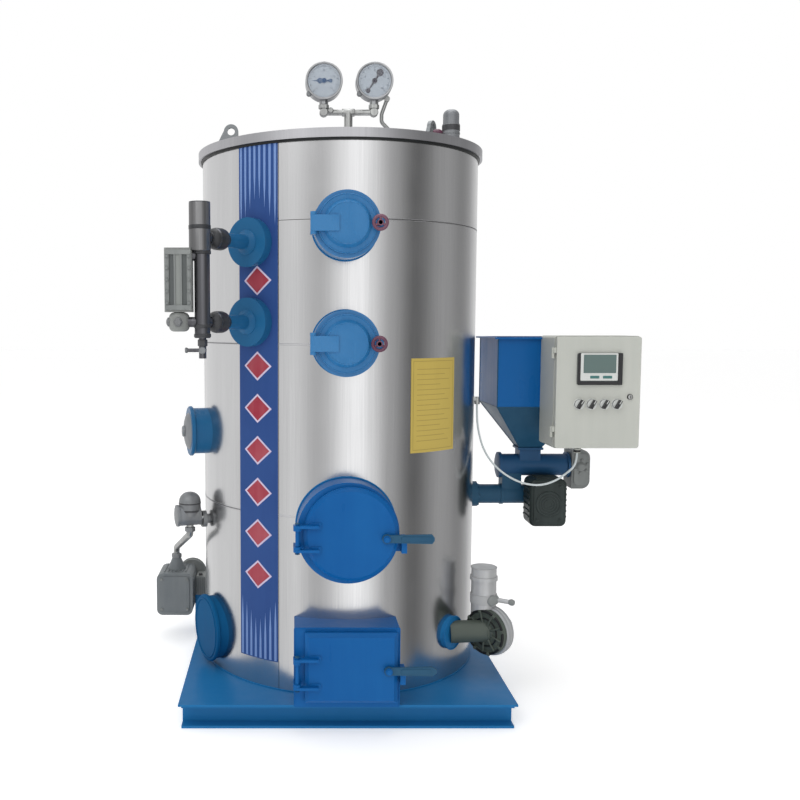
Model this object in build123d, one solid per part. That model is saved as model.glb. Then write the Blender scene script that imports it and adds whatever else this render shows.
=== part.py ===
from build123d import *
import math
import os

os.makedirs("parts", exist_ok=True)

# Upright biomass steam boiler. Millimetres, +Z up, origin on the floor under the drum's axis,
# the doors face -Y and the fuel hopper stands on the +X side.

# Fits shared by all moving pieces
run_clear = 0.08
side_clear = 0.3
swing_clear = 5.5

# Drum size
shell_r = 475.0
shell_h = 1712.0

# Base frame
base_left = shell_r + 41.0
base_right = shell_r + 49.0
base_half_depth = shell_r + 71.0
base_plate_t = 6.0
plate_overhang = 9.0
channel_h = 72.0
channel_flange = 43.0
channel_web_t = 6.0
channel_flange_t = 8.0
cross_member_w = 100.0
base_top = channel_h + base_plate_t

# Drum wall and cladding
cladding_t = 1.5
wall_t = 123.5
segment_gap = 0.6
seam_gap = 1.6
wall_r_out = shell_r - cladding_t
wall_r_in = wall_r_out - wall_t
shell_top = base_top + shell_h
floor_t = 6.0
seam_low = 640.0
seam_mid = 1175.0
seam_high = 1552.0
seam_azimuth = -116.0
seam_azimuth_rear = 92.0
front_segment_half = 30.0
row_margin = 18.0
grate_z = 390.0
grate_t = 25.0
grate_bar_w = 22.0
grate_pitch = 44.0

# Lid, rim and lifting lugs
lid_t = 8.0
rim_overhang = 14.0
rim_h = 28.0
rim_w = 19.0
rim_r = shell_r + rim_overhang
lug_top_r = 25.0
lug_foot = 50.0
lug_shoulder_h = 60.0
lug_h = 131.0
lug_t = 14.0
lug_eye_r = 13.0
lug_places = ((-377.0, 0.0, 0.0), (312.0, -60.0, 58.0))
lid_top = shell_top + lid_t

# Fire door
fire_z = 615.0
fire_nozzle_r = 153.0
fire_throat_r = 120.0
fire_reach = 90.0
fire_face = shell_r + fire_reach
fire_disc_r = 141.0
fire_disc_x = 8.0
door_t = 25.0
door_bevel = 11.0

# Ash door
ash_left = 160.0
ash_right = 158.0
ash_box_h = 245.0
ash_throat_half = 118.0
ash_throat_low = 24.0
ash_throat_h = 192.0
ash_reach = 85.0
ash_face = shell_r + ash_reach
ash_door_left = 128.0
ash_door_right = 150.0
ash_door_low = 19.0
ash_door_h = 216.0

# Door hinges, levers and keepers
hinge_pin_r = 6.0
hinge_lug_t = 8.0
hinge_lug_r = 12.0
hinge_lug_reach = 64.0
door_hinge_x = -152.0
fire_hinge_z = 606.0
fire_hinge_half = 36.0
ash_hinge_z = 193.0
ash_hinge_half = 43.0
lever_t = 8.0
lever_h = 28.0
lever_stud_r = 6.0
lever_collar_r = 11.0
lever_cap_t = 4.0
fire_lever_x = 112.0
fire_lever_tip = 252.0
fire_lever_z = 606.0
ash_lever_x = 122.0
ash_lever_tip = 265.0
ash_lever_z = 203.0
keeper_t = 16.0
keeper_h = 46.0
keeper_gap = 8.0
keeper_root = 26.0

# Hand-hole hatches
hatch_x = -8.0
hatch_zs = {"upper": 1526.0, "lower": 1180.0}
hatch_nozzle_r = 98.0
hatch_throat_r = 72.0
hatch_reach = 97.0
hatch_face = shell_r + hatch_reach
cover_r = 86.0
cover_t = 14.0
cover_boss_low_r = 70.0
cover_boss_top_r = 61.0
cover_boss_h = 15.0
hatch_pin_r = 5.0
hatch_knuckle_r = 9.0
hatch_strap_h = 46.0
hatch_lug_t = 9.0
hatch_strap_reach = 74.0
knob_x_offset = 92.0
knob_r = 24.0
knob_rim_r = 5.0
knob_hub_r = 9.0
knob_screw_r = 5.0
knob_standoff = 24.0
ear_half_h = 15.0

# Pressure gauges on their manifold
manifold_x = 7.0
manifold_y = -360.0
manifold_rise = 90.0
manifold_z = lid_top + manifold_rise
stem_r = 13.0
cross_pipe_r = 9.0
gauge_r = 57.0
gauge_t = 46.0
gauge_rise = 91.0
gauge_z = manifold_z + gauge_rise
gauge_xs = {"left": -69.0, "right": 86.0}
gauge_stem_r = 10.5
gauge_bezel_w = 5.0
gauge_recess = 4.0
gauge_socket_w = 3.0
gauge_socket_h = 14.0
impulse_pipe_r = 6.0
impulse_bend_r = 18.0
impulse_route = ((43.0, -44.0), (27.0, -88.0), (27.0, -112.0), (52.0, -136.0), (92.0, -156.0))
impulse_foot = 98.0

# Safety valve
valve_x = 371.0
valve_y = -100.0
valve_neck_r = 20.0
valve_body_r = 29.0
valve_cap_r = 27.0
valve_neck_h = 42.0
valve_body_h = 68.0
valve_cap_h = 48.0
valve_outlet_r = 15.0
valve_outlet_l = 44.0

# Water level column
level_azimuth = -128.0
level_zs = (1243.0, 1489.0)
level_pad_r = 76.0
level_pad_l = 26.0
level_pipe_r = 15.0
level_union_r = 32.0
level_union_l = 58.0
level_union_start = 100.0
level_column_off = 225.0
level_column_r = 23.0
level_column_low = 1196.0
level_column_top = 1452.0
level_head_r = 31.0
level_head_top = 1591.0
level_head_shift = 6.0
glass_off = 68.0
glass_w = 82.0
glass_d = 46.0
glass_low = 1272.0
glass_h = 186.0
glass_link_drop = 22.0
glass_cock_r = 30.0
glass_cock_l = 56.0
drain_r = 11.0
drain_l = 60.0
drain_lever_l = 52.0

# Blind side ports of the drum
mid_port_azimuth = -165.0
mid_port_z = 872.0
mid_port_r = 85.0
mid_port_l = 48.0
mid_cover_t = 14.0
low_port_azimuth = -155.0
low_port_z = 207.0
low_port_r = 112.0
low_port_l = 18.0
low_cover_t = 14.0
port_nut_r = 17.0
port_nut_l = 22.0

# Feed-water check valve, pipe and pump
inlet_azimuth = -162.0
inlet_z = 570.0
inlet_r = 16.0
inlet_flange_r = 28.0
inlet_flange_t = 14.0
inlet_flange_off = 10.0
check_start = 34.0
check_end = 112.0
check_r = 35.0
check_rise = 16.0
check_bonnet_r = 37.0
check_bonnet_off = 66.0
check_bonnet_top = 666.0
water_pipe_r = 12.0
water_low_knee = 354.0
water_high_knee = 520.0
pump_x = -(shell_r + 146.0)
pump_y = 314.0
pump_rise = 24.0
pump_motor_w = 140.0
pump_motor_h = 166.0
pump_motor_l = 150.0
pump_neck_r = 36.0
pump_neck_h = 46.0
pump_head_x = -(shell_r + 92.0)
pump_head_z = 232.0
pump_head_r = 50.0
pump_head_t = 46.0
pump_foot_left = shell_r + 74.0
pump_foot_w = 42.0
pump_foot_d = 120.0
pump_foot_low = 160.0
pump_foot_top = 236.0

# Fuel hopper and feed screws
hopper_left = shell_r + 77.0
hopper_w = 300.0
hopper_front = -70.0
hopper_d = 295.0
hopper_top = 1191.0
hopper_straight_h = 244.0
hopper_cone_h = 160.0
hopper_sheet = 4.0
hopper_lip_w = 14.0
hopper_lip_h = 6.0
neck_w = 76.0
neck_d = 70.0
trough_r = 40.0
trough_z = 722.0
trough_left = hopper_left + 38.0
trough_right = hopper_left + 298.0
feed_r = 35.0
feed_z = 614.0
feed_right = hopper_left + 170.0
feed_flange_r = 46.0
feed_flange_t = 26.0
feed_flange_off = 20.0
chute_w = 70.0
gear_w = 86.0
gear_d = 96.0
gear_low = 532.0
gear_top = 676.0
feed_motor_w = 130.0
feed_motor_h = 170.0
feed_motor_x = hopper_left + 191.0
feed_motor_z = 605.0
feed_motor_front = -60.0
guard_w = 66.0
guard_d = 96.0
guard_low = 641.0
guard_top = 783.0

# Control box
box_left = hopper_left + 149.0
box_w = 282.0
box_low = 825.0
box_h = 373.0
box_d = 160.0
box_sheet = 2.0
box_door_t = 19.0
box_door_gap = 1.0
box_door_edge = 2.0
box_corner_r = 9.0
box_knuckle_r = 5.0
box_pin_r = 2.5
box_knuckle_h = 18.0
box_hinge_off = 5.5
display_w = 148.0
display_h = 105.0
display_t = 7.0
display_x = box_left + 143.0
display_z = 1090.0
switch_xs = tuple(box_left + dx for dx in (79.0, 120.0, 162.0, 204.0))
switch_z = 974.0
switch_ring_r = 15.0
switch_ring_t = 6.0
switch_grip_w = 9.0
switch_grip_t = 16.0
lock_x = box_left + 245.0
lock_z = 998.0
lock_r = 9.0
lock_t = 5.0
gland_r = 11.0
gland_l = 24.0

# Blower, its air duct and its damper lever
blower_port_azimuth = -42.0
blower_port_z = 228.0
blower_port_r = 54.0
blower_port_t = 12.0
blower_axis_azimuth = 42.0
blower_azimuth = -36.2
blower_off = 100.0
blower_z = 235.0
blower_face_r = 74.0
blower_face_t = 14.0
blower_r = 80.0
blower_l = 34.0
blower_motor_r = 42.0
blower_motor_l = 52.0
blower_neck_r = 36.0
duct_r = 41.0
duct_top = 442.0
duct_cap_r = 45.0
duct_cap_t = 12.0
duct_cap_drop = 42.0
duct_azimuth = -32.8
duct_off = 79.0
duct_low = 262.0
damper_r = 7.5
damper_l = 96.0
damper_end_r = 10.0
damper_z = 338.0
damper_azimuth = -34.0

# Flue collar and steam outlet
flue_r = 75.0
flue_t = 3.0
flue_l = 90.0
flue_floor = 4.0
flue_z = 1600.0
flue_flange_r = 100.0
flue_flange_t = 10.0
steam_x = 60.0
steam_y = 120.0
steam_r = 30.0
steam_bore_r = 25.0
steam_l = 46.0
steam_flange_r = 58.0
steam_flange_t = 14.0

# Signal cable between the drum and the control box
cable_r = 3.5
outlet_azimuth = -9.5
outlet_z = 985.0
outlet_r = 9.0
outlet_l = 26.0
outlet_off = 11.0
box_gland_x = box_left + 102.0
box_gland_y = -170.0
cable_first_run = 50.0
cable_last_run = 40.0
cable_route = (
    (486.0, -92.0, 852.0),
    (502.0, -101.0, 798.0),
    (534.0, -110.0, 750.0),
    (578.0, -120.0, 713.0),
    (629.0, -130.0, 689.0),
    (684.0, -140.0, 682.0),
    (731.0, -150.0, 697.0),
    (771.0, -160.0, 727.0),
)

BASE_MIN = (Align.CENTER, Align.CENTER, Align.MIN)


def polar(radius, azimuth, z=0.0):
    a = math.radians(azimuth)
    return (radius * math.cos(a), radius * math.sin(a), z)


def block(x0, x1, y0, y1, z0, z1):
    return Pos((x0 + x1) / 2, (y0 + y1) / 2, (z0 + z1) / 2) * Box(x1 - x0, y1 - y0, z1 - z0)


def rod(radius, start, end):
    """A round bar between two points."""
    axis = Vector(*end) - Vector(*start)
    return Plane(origin=start, z_dir=axis.normalized()) * Cylinder(radius, axis.length, align=BASE_MIN)


def upright(radius, z0, z1, x=0.0, y=0.0):
    return Pos(x, y, z0) * Cylinder(radius, z1 - z0, align=BASE_MIN)


def sector(a0, a1, radius, z0, z1):
    """A wedge of the full circle from one azimuth to another."""
    steps = max(1, math.ceil((a1 - a0) / 50.0))
    corners = [polar(radius * 1.5, a0 + (a1 - a0) * i / steps)[:2] for i in range(steps + 1)]
    outline = Polygon((0, 0), *corners, align=None)
    return Pos(0, 0, z0) * extrude(outline, z1 - z0)


def tube(r_out, r_in, z0, z1):
    return upright(r_out, z0, z1) - upright(r_in, z0, z1)


def front_rod(radius, x, z, y0, y1):
    """A round bar along Y, from the nearer y0 back to y1."""
    return rod(radius, (x, y1, z), (x, y0, z))


def drum_body(radius=shell_r):
    return upright(radius, 0, shell_top + lug_h)


def save(name, *shapes):
    solids = [solid for shape in shapes for solid in shape.solids()]
    result = solids[0] if len(solids) == 1 else Compound(children=solids)
    export_step(result, f"parts/{name}.step")


def base_frame():
    """Top plate on four outward channels with a cross member under the drum."""
    left, right, depth = -base_left, base_right, base_half_depth
    plate = block(left, right, -depth, depth, channel_h, base_top)
    foot_x, y0, y1 = -pump_foot_left, *pump_foot_span()
    save("base_plate", plate + block(foot_x, left, y0, y1, channel_h, base_top))
    save("pump_pedestal", block(foot_x, foot_x + pump_foot_w, y0, y1, base_top, pump_foot_low))
    x0, x1, y1 = left + plate_overhang, right - plate_overhang, depth - plate_overhang
    inner = y1 - channel_flange
    ends = [channel(x1 - x0, (x0 + x1) / 2, -y1, 0), channel(x1 - x0, (x0 + x1) / 2, y1, 180)]
    save("base_end_channels", *ends)
    sides = [channel(2 * inner, 0, x0, -90, along_y=True), channel(2 * inner, 0, x1, 90, along_y=True)]
    save("base_side_channels", *sides)
    half = cross_member_w / 2
    save("base_cross_member", block(-half, half, -inner, inner, 0, channel_h))


def pump_foot_span():
    back = pump_y + pump_motor_l / 2 + pump_head_t
    return back - pump_foot_d, back


def channel(length, middle, edge, turn, along_y=False):
    """A channel on its web, its open side facing outward."""
    web_y = channel_flange - channel_web_t
    web = block(-length / 2, length / 2, web_y, channel_flange, 0, channel_h)
    low = block(-length / 2, length / 2, 0, channel_flange, 0, channel_flange_t)
    top = block(-length / 2, length / 2, 0, channel_flange, channel_h - channel_flange_t, channel_h)
    bar = web + low + top
    place = Pos(edge, middle, 0) if along_y else Pos(middle, edge, 0)
    return place * Rot(0, 0, turn) * bar


def drum_wall():
    """Jacketed wall in segments, the front one in rows round the door throats."""
    ring = tube(wall_r_out, wall_r_in, base_top, shell_top)
    gap = math.degrees(segment_gap / wall_r_in)
    first = -90 + front_segment_half
    step = (360 - 2 * front_segment_half) / 5
    segments = []
    for i in range(5):
        a0 = first + i * step
        segments.append(ring & sector(a0 + gap / 2, a0 + step - gap / 2, shell_r, base_top, shell_top))
    save("drum_wall", *segments)
    front = ring & sector(-90 - front_segment_half + gap / 2, first - gap / 2, shell_r, base_top, shell_top)
    fire = front_rod(fire_throat_r, 0, fire_z, -shell_r * 1.2, 0)
    low_row = base_top + ash_throat_low + ash_throat_h + row_margin
    fire_row = (fire_z + hatch_zs["lower"]) / 2
    hatch_row = (hatch_zs["lower"] + hatch_zs["upper"]) / 2
    rows = (
        ("front_wall_fire_row", low_row, fire_row, fire),
        ("front_wall_lower_hatch_row", fire_row, hatch_row, hatch_throat("lower")),
        ("front_wall_upper_hatch_row", hatch_row, shell_top, hatch_throat("upper")),
    )
    for name, z0, z1, hole in rows:
        save(name, (front & block(-shell_r, shell_r, -shell_r, 0, z0, z1)) - hole)
    half = ash_throat_half
    jambs = front & block(-shell_r, shell_r, -shell_r, 0, base_top, low_row)
    save("front_wall_ash_jambs", jambs - block(-half, half, -shell_r * 1.2, 0, base_top, low_row))


def hatch_throat(which):
    return front_rod(hatch_throat_r, hatch_x, hatch_zs[which], -shell_r * 1.2, 0)


def front_openings():
    low = base_top + ash_throat_low
    ash = block(-ash_throat_half, ash_throat_half, -shell_r * 1.2, 0, low, low + ash_throat_h)
    fire = front_rod(fire_throat_r, 0, fire_z, -shell_r * 1.2, 0)
    return [ash, fire, hatch_throat("upper"), hatch_throat("lower")]


def cladding():
    """Thin stainless sheets, three courses on the left and two on the right."""
    skin = tube(shell_r, wall_r_out, base_top, shell_top)
    for opening in front_openings():
        skin -= opening
    half_gap = math.degrees(seam_gap / shell_r) / 2
    turn = 360 - seam_azimuth_rear + seam_azimuth
    left = skin & sector(seam_azimuth_rear + half_gap, seam_azimuth_rear + turn - half_gap, shell_r,
                         base_top, shell_top)
    right = skin & sector(seam_azimuth + half_gap, seam_azimuth_rear - half_gap, shell_r,
                          base_top, shell_top)
    save("cladding_left", *courses(left, (seam_low, seam_mid)))
    save("cladding_right", *courses(right, (seam_high,)))


def courses(sheet, seams):
    levels = [base_top - seam_gap / 2, *seams, shell_top + seam_gap / 2]
    pieces = []
    for z0, z1 in zip(levels, levels[1:]):
        band = block(-shell_r, shell_r, -shell_r, shell_r, z0 + seam_gap / 2, z1 - seam_gap / 2)
        pieces.append(sheet & band)
    return pieces


def drum_ends():
    save("ash_floor", upright(wall_r_in - side_clear, base_top, base_top + floor_t))
    bed = upright(wall_r_in - side_clear, grate_z, grate_z + grate_t)
    slots = [
        block(x, x + grate_pitch - grate_bar_w, -slot_half(x), slot_half(x), grate_z, grate_z + grate_t)
        for x in grate_slots()
    ]
    for slot in slots:
        bed -= slot
    save("fire_grate", bed)
    lid = upright(rim_r - rim_w - side_clear, shell_top, shell_top + lid_t)
    save("top_rim", tube(rim_r, rim_r - rim_w, shell_top, shell_top + rim_h))
    steam = upright(steam_r, 0, steam_l) + Pos(0, 0, steam_l - steam_flange_t) * upright(
        steam_flange_r, 0, steam_flange_t)
    steam -= upright(steam_bore_r, 0, steam_l)
    save("drum_lid", lid + Pos(steam_x, steam_y, lid_top) * steam)


def grate_slots():
    count = int((wall_r_in - grate_pitch) / grate_pitch)
    return [grate_pitch * i - (grate_pitch - grate_bar_w) / 2 for i in range(-count, count + 1)]


def slot_half(x):
    reach = max(abs(x), abs(x + grate_pitch - grate_bar_w))
    return math.sqrt(wall_r_in**2 - reach**2) - grate_pitch


def lifting_lugs():
    """Round-topped eye plates welded to the lid, one side sloping out."""
    middle = lug_h - lug_top_r
    outline = Polygon((-lug_foot, 0), (lug_top_r, 0), (lug_top_r, middle), (-lug_top_r * 0.8, lug_h - lug_top_r / 2),
                      (-lug_foot, lug_shoulder_h), align=None)
    outline = outline + Pos(0, middle) * Circle(lug_top_r) - Pos(0, middle) * Circle(lug_eye_r)
    plate = Rot(90, 0, 0) * extrude(outline, lug_t / 2, both=True)
    save("lifting_lugs", *[Pos(x, y, lid_top) * Rot(0, 0, a) * plate for x, y, a in lug_places])


def hinge_lug(x, y, z, thickness, knuckle_r, bore_r, arm):
    """A flat knuckle round a vertical pin, with its arm, and a hole if bore_r is given."""
    plate = upright(knuckle_r, z, z + thickness, x, y) + arm
    return plate - upright(bore_r, z - 1, z + thickness + 1, x, y) if bore_r else plate


def door_hinge(middle_z, half, face, root):
    """Door knuckles outside, frame knuckles with the pin inside."""
    x, y = door_hinge_x, -(face + door_t + hinge_pin_r)
    t, r = hinge_lug_t, hinge_lug_r
    moving, fixed = [], []
    for side in (-1, 1):
        z = middle_z + side * half - t / 2
        arm = block(x, x + hinge_lug_reach, y - r, -(face + door_t) + side_clear, z, z + t)
        arm += block(x, x + r, y - r, y + r, z, z + t)
        moving.append(hinge_lug(x, y, z, t, r, hinge_pin_r + run_clear, arm))
        z -= side * (t + side_clear)
        arm = block(x - r, x + r, y, -root, z, z + t)
        fixed.append(hinge_lug(x, y, z, t, r, 0, arm))
    pin = upright(hinge_pin_r, middle_z - half - t, middle_z + half + t, x, y)
    return moving, fixed, pin


def lever(x0, tip, z, face, pointed):
    """A flat lever turning on a stud, and the stud with its collar and cap."""
    y = -face
    collar = front_rod(lever_collar_r, x0, z, y - swing_clear, y)
    shank = front_rod(lever_stud_r, x0, z, y - swing_clear - lever_t - 2 * side_clear, y)
    cap_y = y - swing_clear - lever_t - 2 * side_clear
    cap = front_rod(lever_collar_r, x0, z, cap_y - lever_cap_t, cap_y)
    stud = collar + shank + cap
    half = lever_h / 2
    nose = tip - half if pointed else tip - half / 2
    outline = Pos(x0, z) * Circle(half) + Polygon(
        (x0, z - half * 0.8), (nose, z - half), (tip, z - half / 3), (tip, z + half / 3),
        (nose, z + half), (x0, z + half * 0.8), align=None)
    outline -= Pos(x0, z) * Circle(lever_stud_r + run_clear)
    plane = Plane(origin=(0, y - swing_clear - side_clear, 0), x_dir=(1, 0, 0), z_dir=(0, -1, 0))
    bar = plane * extrude(outline, lever_t)
    return stud, bar


def fire_door():
    nozzle = front_rod(fire_nozzle_r, 0, fire_z, -fire_face, 0) - drum_body()
    moving, fixed, pin = door_hinge(fire_hinge_z, fire_hinge_half, fire_face, fire_face - fire_nozzle_r / 8)
    edge = fire_disc_x + fire_disc_r
    catch = keeper(edge, fire_lever_z, fire_face)
    frame = nozzle - front_rod(fire_throat_r, 0, fire_z, -fire_face * 1.2, 0)
    for piece in (*fixed, pin, catch):
        frame += piece
    save("fire_door_frame", frame)
    disc = front_rod(fire_disc_r, fire_disc_x, fire_z, -(fire_face + door_t), -fire_face - side_clear)
    disc = chamfer(disc.edges().group_by(Axis.Y)[0], door_bevel)
    stud, bar = lever(fire_lever_x, fire_lever_tip, fire_lever_z, fire_face + door_t, False)
    for piece in (*moving, stud):
        disc += piece
    save("fire_door", disc)
    save("fire_door_lever", bar)


def keeper(door_edge, lever_z, face):
    """Wedge beside the door's free edge, its nose just behind the lever."""
    x0, nose, root = door_edge + keeper_gap, -(face + door_t) + side_clear, -face + keeper_root
    inner = door_edge - keeper_root / 2
    points = [(x0, nose), (x0 + keeper_t, nose), (x0 + keeper_t, root), (inner, root), (inner, -face + 4),
              (x0, -face + 4)]
    plate = extrude(Polygon(*points, align=None), keeper_h)
    return Pos(0, 0, lever_z - keeper_h) * plate


def ash_door():
    z0 = base_top
    box = block(-ash_left, ash_right, -ash_face, 0, z0, z0 + ash_box_h) - drum_body()
    low = z0 + ash_throat_low
    box -= block(-ash_throat_half, ash_throat_half, -ash_face * 1.1, 0, low, low + ash_throat_h)
    moving, fixed, pin = door_hinge(ash_hinge_z, ash_hinge_half, ash_face, ash_face - hinge_lug_r)
    catch = keeper(ash_door_right, ash_lever_z, ash_face)
    for piece in (*fixed, pin, catch):
        box += piece
    save("ash_door_frame", box)
    panel = block(-ash_door_left, ash_door_right, -(ash_face + door_t), -ash_face - side_clear,
                  z0 + ash_door_low, z0 + ash_door_low + ash_door_h)
    panel = chamfer(panel.faces().sort_by(Axis.Y)[0].edges(), door_bevel)
    stud, bar = lever(ash_lever_x, ash_lever_tip, ash_lever_z, ash_face + door_t, True)
    for piece in (*moving, stud):
        panel += piece
    save("ash_door", panel)
    save("ash_door_lever", bar)


def hatch(which):
    """Short neck, dished cover on a strap hinge, and a hand-screw at its ear."""
    z, face = hatch_zs[which], hatch_face
    frame = front_rod(hatch_nozzle_r, hatch_x, z, -face, 0) - drum_body()
    frame -= front_rod(hatch_throat_r, hatch_x, z, -face * 1.1, 0)
    pin_x = hatch_x - cover_r - swing_clear - hatch_knuckle_r + 2
    front = face + side_clear + cover_t
    pin_y = -(front + hatch_knuckle_r + 1)
    half = hatch_strap_h / 2
    r = hatch_knuckle_r
    for side in (-1, 1):
        z1 = z + side * (half + side_clear + hatch_lug_t / 2) - hatch_lug_t / 2
        arm = block(pin_x - r, pin_x + r * 0.8, pin_y, -face + 4, z1, z1 + hatch_lug_t)
        frame += upright(r, z1, z1 + hatch_lug_t, pin_x, pin_y) + arm
    frame += upright(hatch_pin_r, z - half - hatch_lug_t, z + half + hatch_lug_t, pin_x, pin_y)
    save(f"{which}_hatch_frame", frame)
    cover = front_rod(cover_r, hatch_x, z, -front, -face - side_clear)
    boss = Plane(origin=(hatch_x, -front, z), x_dir=(1, 0, 0), z_dir=(0, -1, 0)) * Cone(
        cover_boss_low_r, cover_boss_top_r, cover_boss_h, align=BASE_MIN)
    knob_x = hatch_x + knob_x_offset
    ear = block(hatch_x, knob_x + ear_half_h, -front, -face - side_clear, z - ear_half_h, z + ear_half_h)
    strap = upright(r, z - half, z + half, pin_x, pin_y)
    strap += block(pin_x, pin_x + hatch_strap_reach, pin_y - r, -front + side_clear, z - half, z + half)
    cover = cover + ear + boss + strap
    cover -= upright(hatch_pin_r + run_clear, z - half, z + half, pin_x, pin_y)
    cover -= front_rod(knob_screw_r + run_clear, knob_x, z, -front * 1.1, 0)
    save(f"{which}_hatch_cover", cover)
    save(f"{which}_hatch_knob", hand_screw(knob_x, z, front))


def hand_screw(x, z, front):
    """Ringed hand wheel on its screw."""
    wheel_y = -(front + knob_standoff)
    screw = front_rod(knob_screw_r, x, z, wheel_y, -hatch_face - 2 * side_clear)
    hub = front_rod(knob_hub_r, x, z, wheel_y - knob_rim_r, -(front + side_clear))
    plane = Plane(origin=(x, wheel_y, z), x_dir=(1, 0, 0), z_dir=(0, -1, 0))
    rim = plane * Torus(knob_r - knob_rim_r, knob_rim_r)
    wheel = screw + hub + rim
    for i in range(3):
        a = math.radians(90 + 120 * i)
        end = (x + (knob_r - knob_rim_r) * math.cos(a), wheel_y, z + (knob_r - knob_rim_r) * math.sin(a))
        wheel += rod(knob_rim_r * 0.7, (x, wheel_y, z), end)
    return wheel


def gauges():
    y = manifold_y
    pipe = upright(stem_r, lid_top, manifold_z, manifold_x, y)
    left, right = gauge_xs["left"], gauge_xs["right"]
    pipe += rod(cross_pipe_r, (left, y, manifold_z), (right, y, manifold_z))
    for x in (left, right):
        pipe += Pos(x, y, manifold_z) * Sphere(cross_pipe_r)
        pipe += upright(gauge_stem_r, manifold_z, gauge_z - gauge_r + side_clear, x, y)
    save("gauge_manifold", pipe)
    cases = []
    for x in (left, right):
        case = front_rod(gauge_r, x, gauge_z, y - gauge_t / 2, y + gauge_t / 2)
        case = fillet(case.edges().filter_by(GeomType.CIRCLE), gauge_t / 12)
        recess = front_rod(gauge_r - gauge_bezel_w, x, gauge_z, y - gauge_t, y - gauge_t / 2 + gauge_recess)
        low = gauge_z - gauge_r
        socket = upright(gauge_stem_r + gauge_socket_w, low - gauge_socket_h, low + gauge_recess, x, y)
        case = case - recess + socket
        case -= upright(gauge_stem_r, low - 2 * gauge_socket_h, low + side_clear, x, y)
        cases.append(case)
    save("pressure_gauges", *cases)
    impulse_pipe()


def impulse_pipe():
    """Thin bent pipe from the right gauge down to the lid."""
    x, y, z = gauge_xs["right"], manifold_y, gauge_z
    start_y, end_y = y + gauge_t / 2 + impulse_pipe_r, y + gauge_t
    points = [(x + dx, start_y + (end_y - start_y) * i / 5, z + dz) for i, (dx, dz) in enumerate(impulse_route)]
    points.append((x + impulse_foot, end_y, lid_top))
    path = FilletPolyline(*points, radius=impulse_bend_r)
    first = Vector(*points[1]) - Vector(*points[0])
    bent = sweep(Plane(origin=points[0], z_dir=first.normalized()) * Circle(impulse_pipe_r), path=path)
    clip = rod(impulse_pipe_r * 1.4, (points[0][0], y + gauge_t / 2 - gauge_recess, points[0][2]),
               (points[0][0], start_y + impulse_pipe_r, points[0][2]))
    bent += clip - front_rod(gauge_r, x, z, y - gauge_t / 2, y + gauge_t / 2)
    save("impulse_pipe", bent - upright(rim_r, shell_top, lid_top))


def safety_valve():
    z = lid_top
    body_z = z + valve_neck_h
    top_z = body_z + valve_body_h
    valve = upright(valve_neck_r, z, body_z) + upright(valve_body_r, body_z, top_z)
    cap = Pos(0, 0, top_z) * Cylinder(valve_cap_r, valve_cap_h, align=BASE_MIN)
    cap = fillet(cap.edges().group_by(Axis.Z)[-1], valve_cap_r * 0.7)
    valve = valve + cap + rod(valve_outlet_r, (0, 0, body_z + valve_outlet_r),
                              (-valve_outlet_l, 0, body_z + valve_outlet_r))
    save("safety_valve", Pos(valve_x, valve_y, 0) * valve)


def level_gauge():
    a = level_azimuth
    column_r = shell_r + level_column_off
    x, y, _ = polar(column_r, a)
    column = upright(level_column_r, level_column_low, level_column_top, x, y)
    column += upright(level_head_r, level_column_top, level_head_top, x - level_head_shift, y)
    pads = []
    for z in level_zs:
        start, end = polar(shell_r, a, z), polar(shell_r + level_pad_l, a, z)
        pads.append(rod(level_pad_r, polar(shell_r * 0.8, a, z), end) - drum_body())
        u0 = shell_r + level_pad_l
        column += rod(level_pipe_r, polar(u0, a, z), polar(column_r, a, z))
        u1 = u0 + level_union_start
        union = rod(level_union_r, polar(u1, a, z), polar(u1 + level_union_l, a, z))
        column += fillet(union.edges().filter_by(GeomType.CIRCLE), level_union_r / 2)
    low, high = level_zs[0], glass_low + glass_h - glass_link_drop
    for z in (low, high):
        column += rod(level_pipe_r, (x, y, z), (x - glass_off, y, z))
    drain_x = x
    column += upright(drain_r, level_column_low - drain_l, level_column_low, drain_x, y)
    lever_z = level_column_low - drain_l * 0.6
    column += rod(drain_r * 0.5, (x, y, lever_z), (x - drain_lever_l, y, lever_z))
    save("level_pads", *pads)
    glass_x = x - glass_off
    glass = block(glass_x - glass_w / 2, glass_x + glass_w / 2, y - glass_d / 2, y + glass_d / 2,
                  glass_low, glass_low + glass_h)
    glass = fillet(glass.edges().filter_by(Axis.Z), glass_d / 5)
    cock = upright(glass_cock_r, low - glass_cock_l / 2, low + glass_cock_l / 2, glass_x, y)
    glass += fillet(cock.edges().filter_by(GeomType.CIRCLE), glass_cock_r / 2)
    glass += upright(level_pipe_r, low, glass_low, glass_x, y)
    save("sight_glass", glass)
    save("level_column", column - glass)


def side_ports():
    """Blind ports closed by flat covers, the upper one with a large nut."""
    ports = (
        ("mid_port", mid_port_azimuth, mid_port_z, mid_port_r, mid_port_l, mid_cover_t, port_nut_l),
        ("low_port", low_port_azimuth, low_port_z, low_port_r, low_port_l, low_cover_t, 0),
    )
    for name, a, z, r, length, t, nut in ports:
        neck = rod(r - t / 2, polar(shell_r * 0.8, a, z), polar(shell_r + length, a, z)) - drum_body()
        cover = rod(r, polar(shell_r + length, a, z), polar(shell_r + length + t, a, z))
        cover = chamfer(cover.edges().filter_by(GeomType.CIRCLE), t / 4)
        top = shell_r + length + t
        if nut:
            cover += rod(port_nut_r, polar(top - t, a, z), polar(top + nut, a, z))
        save(name, neck + cover)


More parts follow.
